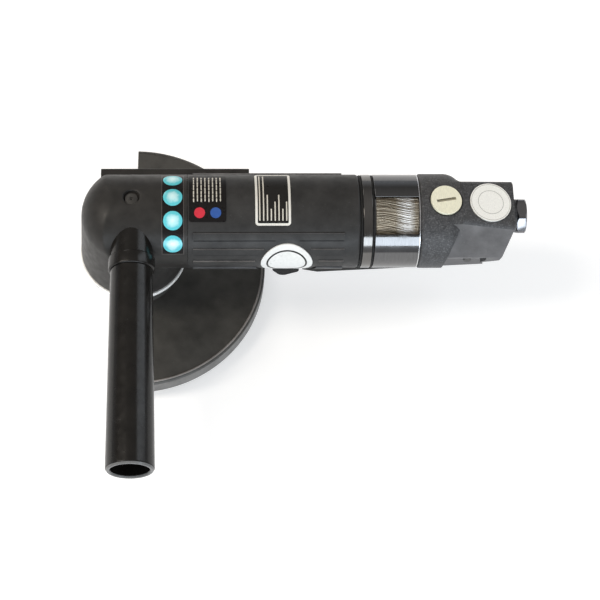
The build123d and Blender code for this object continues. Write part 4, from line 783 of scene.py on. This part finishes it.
def label_print():
    """Plain rules and two plain colour spots on the black label."""
    low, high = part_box("side_label")
    x0 = low[0]
    x1 = high[0]
    start, end = LABEL_ANGLES
    inside = PLATE_R - SINK
    top = PLATE_R + FILM_T
    corner = 1.2 * MM
    wrapped_panel("label_plate", x0, x1, start, end, corner, BODY_R - SINK, PLATE_R,
                  MATERIALS["label_black"], "label_black", "side_label")
    lines = 8
    dashes = 8
    first_x = x0 + 2.0 * MM
    first_angle = start + 5.5
    line_pitch = (x1 - x0 - 3.2 * MM) / lines
    dash_pitch = 5.2
    short_dash = 3.9
    long_dash = 4.7
    thick = 0.55 * MM
    rules = []
    for line in range(lines):
        x = first_x + line * line_pitch
        for dash in range(dashes):
            begin = first_angle + dash * dash_pitch
            length = long_dash if (line + dash) % 2 else short_dash
            rules.append((x, x + thick, begin, begin + length))
    wrapped_bars("label_rules", rules, inside, top, FILM_PALE, "label_black")
    middle = (x0 + x1) / 2
    spot = 2.7 * MM
    apart = 4.0 * MM
    angle = end - 11
    red_x = middle - apart
    blue_x = middle + apart
    wrapped_ring("label_spot_red", red_x, angle, SINK, spot, inside, top, FILM_RED, "label_black")
    wrapped_ring("label_spot_blue", blue_x, angle, SINK, spot, inside, top, FILM_BLUE, "label_black")


def name_plate_print():
    """Dark field with blank rules on the silver plate."""
    low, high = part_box("name_plate")
    border = 1.2 * MM
    plate_corner = 1.6 * MM
    field_corner = 0.6 * MM
    x0 = low[0] + border
    x1 = high[0] - border
    margin = math.degrees(border / PLATE_R)
    start = PLATE_ANGLES[0] + margin
    end = PLATE_ANGLES[1] - margin
    top = PLATE_R + FILM_T
    wrapped_panel("plate_silver", low[0], high[0], *PLATE_ANGLES, plate_corner, BODY_R - SINK, PLATE_R,
                  MATERIALS["plate_silver"], "plate_silver", "name_plate")
    wrapped_panel("plate_field", x0, x1, start, end, field_corner, PLATE_R - SINK, top,
                  FILM_DARK, "plate_silver")
    lines = 8
    long_lines = 2
    gap = 3.0  # degrees between a rule's end and the field's edge
    pitch = (x1 - x0) / lines
    first_x = x0 + 0.35 * pitch
    thick = 0.32 * pitch
    short_start = 12.0
    stagger = 9.0
    rules = []
    for line in range(lines):
        x = first_x + line * pitch
        begin = start + gap if line < long_lines else short_start - stagger * (line % 3)
        rules.append((x, x + thick, begin, end - gap))
    wrapped_bars("plate_rules", rules, PLATE_R, top + FILM_T, FILM_PALE, "plate_silver")


def painted_rib_shade():
    """Painted shade: dark line in the corner under each rib, where the rib shades the grip below it; open
    round the side badge.
    """
    low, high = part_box("side_badge")
    badge_x = (low[0] + high[0]) / 2
    wide = 2  # degrees
    half_thick = 0.05 * MM
    bars = []
    for edge in RIB_EDGES:
        height = BODY_R * math.cos(math.radians(edge))
        half = math.sqrt(max(0.0, RIB_BADGE_R ** 2 - height ** 2))
        bars.append((RIB_X[0], badge_x - half, edge, edge + wide))
        bars.append((badge_x + half, RIB_X[1], edge, edge + wide))
    wrapped_bars("painted_rib_shade", bars, BODY_R - half_thick, BODY_R + half_thick, RIB_SHADE, "grip_black")


def badge_print():
    """Plain rings on the white side badge and on the silver rear badge."""
    low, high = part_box("side_badge")
    x = (low[0] + high[0]) / 2
    radius = (high[0] - low[0]) / 2
    inner = 0.72 * radius
    outer = 0.79 * radius
    outside = -low[1]
    inside = outside - 0.05 * MM
    wrapped_ring("side_badge_ring", x, BADGE_ANGLE, inner, outer, inside, outside + FILM_T,
                 FILM_DARK, "badge_white")
    low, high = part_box("rear_badge")
    half_thick = 0.45 * MM
    centre = (Vector(low) + Vector(high)) / 2 + half_thick * TOP_NORMAL
    radius = (high[1] - low[1]) / 2
    rings = {"rear_badge_ring": (0.6, 0.625), "rear_badge_rim": (0.93, 0.95)}
    for name, (inner, outer) in rings.items():
        flat_ring(name, centre, TOP_NORMAL, inner * radius, outer * radius, FILM_SILVER, "badge_silver")


# Turned and wound details


def handle_bead():
    """Collar of the handle: plain neck out of the head and a rounded bead in front of the grip."""
    low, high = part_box("handle_collar")
    grip_low, grip_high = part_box("handle_grip")
    axis_z = (grip_low[2] + grip_high[2]) / 2
    neck = 10.7 * MM
    bead = 11.6 * MM
    length = 6.8 * MM
    soft = 0.7 * MM
    bore = 4.1 * MM
    steps = 4
    end = low[1]
    turns = [math.pi / 2 * i / steps for i in range(steps + 1)]
    profile = [(end, bore), (end, bead - soft)]
    for turn in turns:
        profile.append((end + soft * (1 - math.cos(turn)), bead - soft * (1 - math.sin(turn))))
    for turn in turns:
        profile.append((end + length - soft * (1 - math.sin(turn)), bead - soft * (1 - math.cos(turn))))
    profile += [(end + length, neck), (high[1], neck), (high[1], bore)]

    def spot(y, angle, radius):
        turn = math.radians(angle)
        return radius * math.cos(turn), y, axis_z + radius * math.sin(turn)

    mesh = mesh_of("handle_bead", *lathe(profile, spot), sharp=40)
    add_piece("handle_bead", mesh, "housing", SLOT_OF["handle_collar"], "handle_collar",
              material=MATERIALS["handle_black"])


def nipple_button():
    """Grease nipple as a sunk button with a domed top and a ball seat in its middle."""
    low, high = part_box("grease_nipple")
    middle_x = (low[0] + high[0]) / 2
    middle_y = (low[1] + high[1]) / 2 - 0.5 * MM
    radius = 3.25 * MM
    shank = 1.5 * MM
    seat = 0.8 * MM
    core = 0.4 * MM
    dome = 0.35 * MM
    top = high[2] - 0.7 * MM
    under = high[2] - 2.1 * MM
    profile = [(low[2], core), (low[2], shank), (under, shank), (under, radius)]
    dome_shares = (0.97, 0.85, 0.7, 0.5, 0.3)
    profile += [(top - dome * share ** 2, radius * share) for share in dome_shares]
    profile += [(top - 0.4 * MM, seat), (top - 0.5 * MM, core)]

    def spot(z, angle, distance):
        turn = math.radians(angle)
        return middle_x + distance * math.cos(turn), middle_y + distance * math.sin(turn), z

    mesh = mesh_of("nipple_button", *lathe(profile, spot, 48), sharp=40)
    add_piece("nipple_button", mesh, "housing", SLOT_OF["grease_nipple"], "grease_nipple",
              material=NIPPLE_METAL)


def guard_bead():
    """Rolled bead along the upper edge of the guard; its colour is a painted highlight on the near half.
    """
    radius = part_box("guard_shell")[1][0] - BEAD_INSET
    steps = 90
    sides = 8
    points = []
    for i in range(steps + 1):
        turn = math.radians(BEAD_SPAN * (i / steps - 0.5))
        for k in range(sides):
            lean = 2 * math.pi * k / sides
            out = radius + BEAD_HALF * math.cos(lean)
            z = GUARD_TOP_Z + BEAD_RISE * math.sin(lean)
            points.append((out * math.cos(turn), out * math.sin(turn), z))
    mesh = mesh_of("guard_bead", points, open_tube(0, steps + 1, sides), sharp=60)
    add_piece("guard_bead", mesh, BODY_OF["guard_shell"], "guard_black", material=BEAD_HIGHLIGHT)


def sleeve_lip():
    """Polished, chamfered lip round the rear end of the exhaust sleeve."""
    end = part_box("exhaust_sleeve")[1][0]
    start = end - 0.6 * MM
    chamfer = 0.25 * MM
    proud = 0.04 * MM
    root = BODY_R - 0.5 * MM
    profile = [(start, root), (start, BODY_R), (start + proud, BODY_R + proud)]
    profile += [(end - chamfer, BODY_R + proud), (end, BODY_R - chamfer), (end, root)]
    mesh = mesh_of("sleeve_lip", *lathe(profile, around), sharp=30)
    add_piece("sleeve_lip", mesh, "sleeve", "sleeve_metal", material=LIP_METAL)


def live_spring():
    """Valve spring as a piece of its own, with a mesh of its own, riding on the housing."""
    mesh = NODES["valve_spring"].data.copy()
    piece = add_piece("valve_spring_live", mesh, "housing", SLOT_OF["valve_spring"], "valve_spring")
    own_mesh(piece)


def wire_roll():
    """Core with wires laid along it, swept sideways and bulged like combed wire wool.

    Sines of unlike pace let each wire stray and wave in its own way."""
    core = [(WIRE_START, CORE_BORE_R), (WIRE_START, CORE_R), (WIRE_END, CORE_R), (WIRE_END, CORE_BORE_R)]
    points, faces = lathe(core, around)
    sides = 6
    rows = 16
    length = WIRE_END - WIRE_START - 2 * WIRE_INSET
    for i in range(WIRE_COUNT):
        faces += open_tube(len(points), rows, sides)
        stray = math.sin(i * 2.4) * 0.5 + math.sin(i * 0.7) * 0.8
        for row in range(rows):
            share = row / (rows - 1)
            x = WIRE_START + WIRE_INSET + length * share
            sweep = WIRE_SWEEP * share ** 2 * (3 - 2 * share)
            angle = 360 * i / WIRE_COUNT + sweep + stray * math.sin(math.pi * share)
            crown = WIRE_CROWN * math.sin(math.pi * share)
            wave = WIRE_WAVE * math.sin(i * 1.9 + 5 * share)
            centre = around(x, angle, WIRE_LAY_R + crown + wave)
            out = (around(x, angle, 1.0) - around(x, angle, 0.0)).normalized()
            side = out.cross(Vector((1, 0, 0)))
            for k in range(sides):
                turn = 2 * math.pi * k / sides
                points.append(centre + WIRE_R * (math.cos(turn) * out + math.sin(turn) * side))
    mesh = mesh_of("wire_roll", points, faces, sharp=70)
    add_piece("wire_roll", mesh, "housing", "silencer_wire", "silencer")


# Stage


def backdrop(name):
    """Floor material: white to the camera and in reflections, and it still takes the tool's shadow."""
    material, tree, shader = start_material(name)
    shader.inputs["Base Color"].default_value = (*FLOOR_GREY, 1)
    shader.inputs["Roughness"].default_value = PAPER_ROUGHNESS
    shader.inputs["Emission Color"].default_value = (1, 1, 1, 1)
    path = tree.nodes.new("ShaderNodeLightPath")
    seen = combine(tree, "MAXIMUM", path.outputs["Is Camera Ray"], path.outputs["Is Glossy Ray"])
    seen = combine(tree, "MAXIMUM", seen, path.outputs["Is Transmission Ray"])
    tree.links.new(combine(tree, "MULTIPLY", seen, FLOOR_GLOW), shader.inputs["Emission Strength"])
    return material


def stage_sheet(name, x_ends, y_ends, z, material):
    """Level rectangle that belongs to the stage."""
    x0, x1 = x_ends
    y0, y1 = y_ends
    mesh = bpy.data.meshes.new(name)
    mesh.from_pydata([(x0, y0, z), (x1, y0, z), (x1, y1, z), (x0, y1, z)], [], [(0, 1, 2, 3)])
    mesh.materials.append(material)
    sheet = bpy.data.objects.new(name, mesh)
    bpy.context.scene.collection.objects.link(sheet)
    return sheet


def pale_floor():
    """Large plain floor at the tool's lowest point."""
    ends = (-FLOOR_HALF, FLOOR_HALF)
    stage_sheet("floor", ends, ends, CAD_BOUNDS[0][2], backdrop("floor_white"))


def grey_card():
    """Grey card in front of the tool that only reflections see, for the dark band in bright metal."""
    material, _, shader = start_material("card_grey")
    shader.inputs["Base Color"].default_value = (*CARD_GREY, 1)
    shader.inputs["Roughness"].default_value = PAPER_ROUGHNESS
    card = stage_sheet("grey_card", CARD_X, CARD_Y, CAD_BOUNDS[0][2] + CARD_LIFT, material)
    card.visible_camera = False
    card.visible_diffuse = False
    card.visible_shadow = False


def studio_world():
    """Room light: pale all round near the floor, dimmer and warmer overhead."""
    world = bpy.data.worlds.new("studio")
    bpy.context.scene.world = world
    world.use_nodes = True
    tree = world.node_tree
    split = tree.nodes.new("ShaderNodeSeparateXYZ")
    source = tree.nodes.new("ShaderNodeTexCoord")
    tree.links.new(source.outputs["Generated"], split.inputs["Vector"])
    stops = [(0.0, ROOM_LOW), (0.1, ROOM_LOW), (0.4, ROOM_MIDDLE), (1.0, ROOM_TOP)]
    tree.links.new(ramp(tree, split.outputs["Z"], stops), tree.nodes["Background"].inputs["Color"])


def soft_lamp(name, place, size, watts, colour):
    """Soft box aimed at the tool."""
    lamp = bpy.data.lights.new(name, "AREA")
    lamp.shape = "RECTANGLE"
    lamp.size = size[0]
    lamp.size_y = size[1]
    lamp.energy = watts
    lamp.color = colour
    holder = bpy.data.objects.new(name, lamp)
    holder.location = place
    holder.rotation_euler = (LAMP_AIM - Vector(place)).to_track_quat("-Z", "Y").to_euler()
    bpy.context.scene.collection.objects.link(holder)


def photo_camera():
    """Camera at the photograph's place, with its slight roll."""
    azimuth = math.radians(VIEW_AZIMUTH)
    elevation = math.radians(VIEW_ELEVATION)
    roll = math.radians(VIEW_ROLL)
    level = math.cos(elevation)
    back = Vector((math.sin(azimuth) * level, -math.cos(azimuth) * level, math.sin(elevation)))
    side = Vector((math.cos(azimuth), math.sin(azimuth), 0))
    up = back.cross(side)
    right = side * math.cos(roll) + up * math.sin(roll)
    above = up * math.cos(roll) - side * math.sin(roll)
    lens = bpy.data.cameras.new("photo_camera")
    lens.sensor_width = SENSOR_MM
    lens.lens = LENS_MM
    lens.clip_start = CLIP_START
    holder = bpy.data.objects.new("photo_camera", lens)
    turn = Matrix((right, above, back)).transposed().to_4x4()
    holder.matrix_world = Matrix.Translation(VIEW_TARGET + back * VIEW_DISTANCE) @ turn
    bpy.context.scene.collection.objects.link(holder)
    bpy.context.scene.camera = holder


# CAD nodes: each takes the material of its slot, and those whose edges show get a rounded copy
for node, shape in NODES.items():
    shape.data.materials.clear()
    shape.data.materials.append(MATERIALS[SLOT_OF[node]])
for node, width in SOFT_EDGES.items():
    softened(node, width)
# the guard's outer wall and its rounded edges take painted light
softened("guard_shell", GUARD_EDGE, second=GUARD_SKIRT_LIGHT, chosen=guard_skirt, rubbed=True)
# the upper walls of the ribs take a painted highlight
softened("motor_housing", GRIP_EDGE, second=RIB_HIGHLIGHT, chosen=rib_wall)
# the flat flanks of the valve housing take painted light
softened("valve_housing", VALVE_EDGE, second=FLANK_LIGHT, chosen=valve_flank)
# the slot of the valve plug takes painted shade
softened("valve_plug", PLUG_EDGE, second=SLOT_SHADE, chosen=plug_slot)
softened("spacer_ring", SPACER_EDGE, material=RING_METAL)
blended("gear_housing", HEAD_VOXEL, HEAD_ROUNDS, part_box("motor_housing")[0][0])

# Pieces of the scene's own
domed_dots()
label_print()
name_plate_print()
# painted shade under the ribs
painted_rib_shade()
badge_print()
handle_bead()
nipple_button()
guard_bead()
sleeve_lip()
live_spring()
wire_roll()

# Floor, card, light and camera
pale_floor()
grey_card()
studio_world()
for name, settings in LAMPS.items():
    soft_lamp(name, *settings)
photo_camera()
bpy.context.scene.view_settings.view_transform = "Standard"
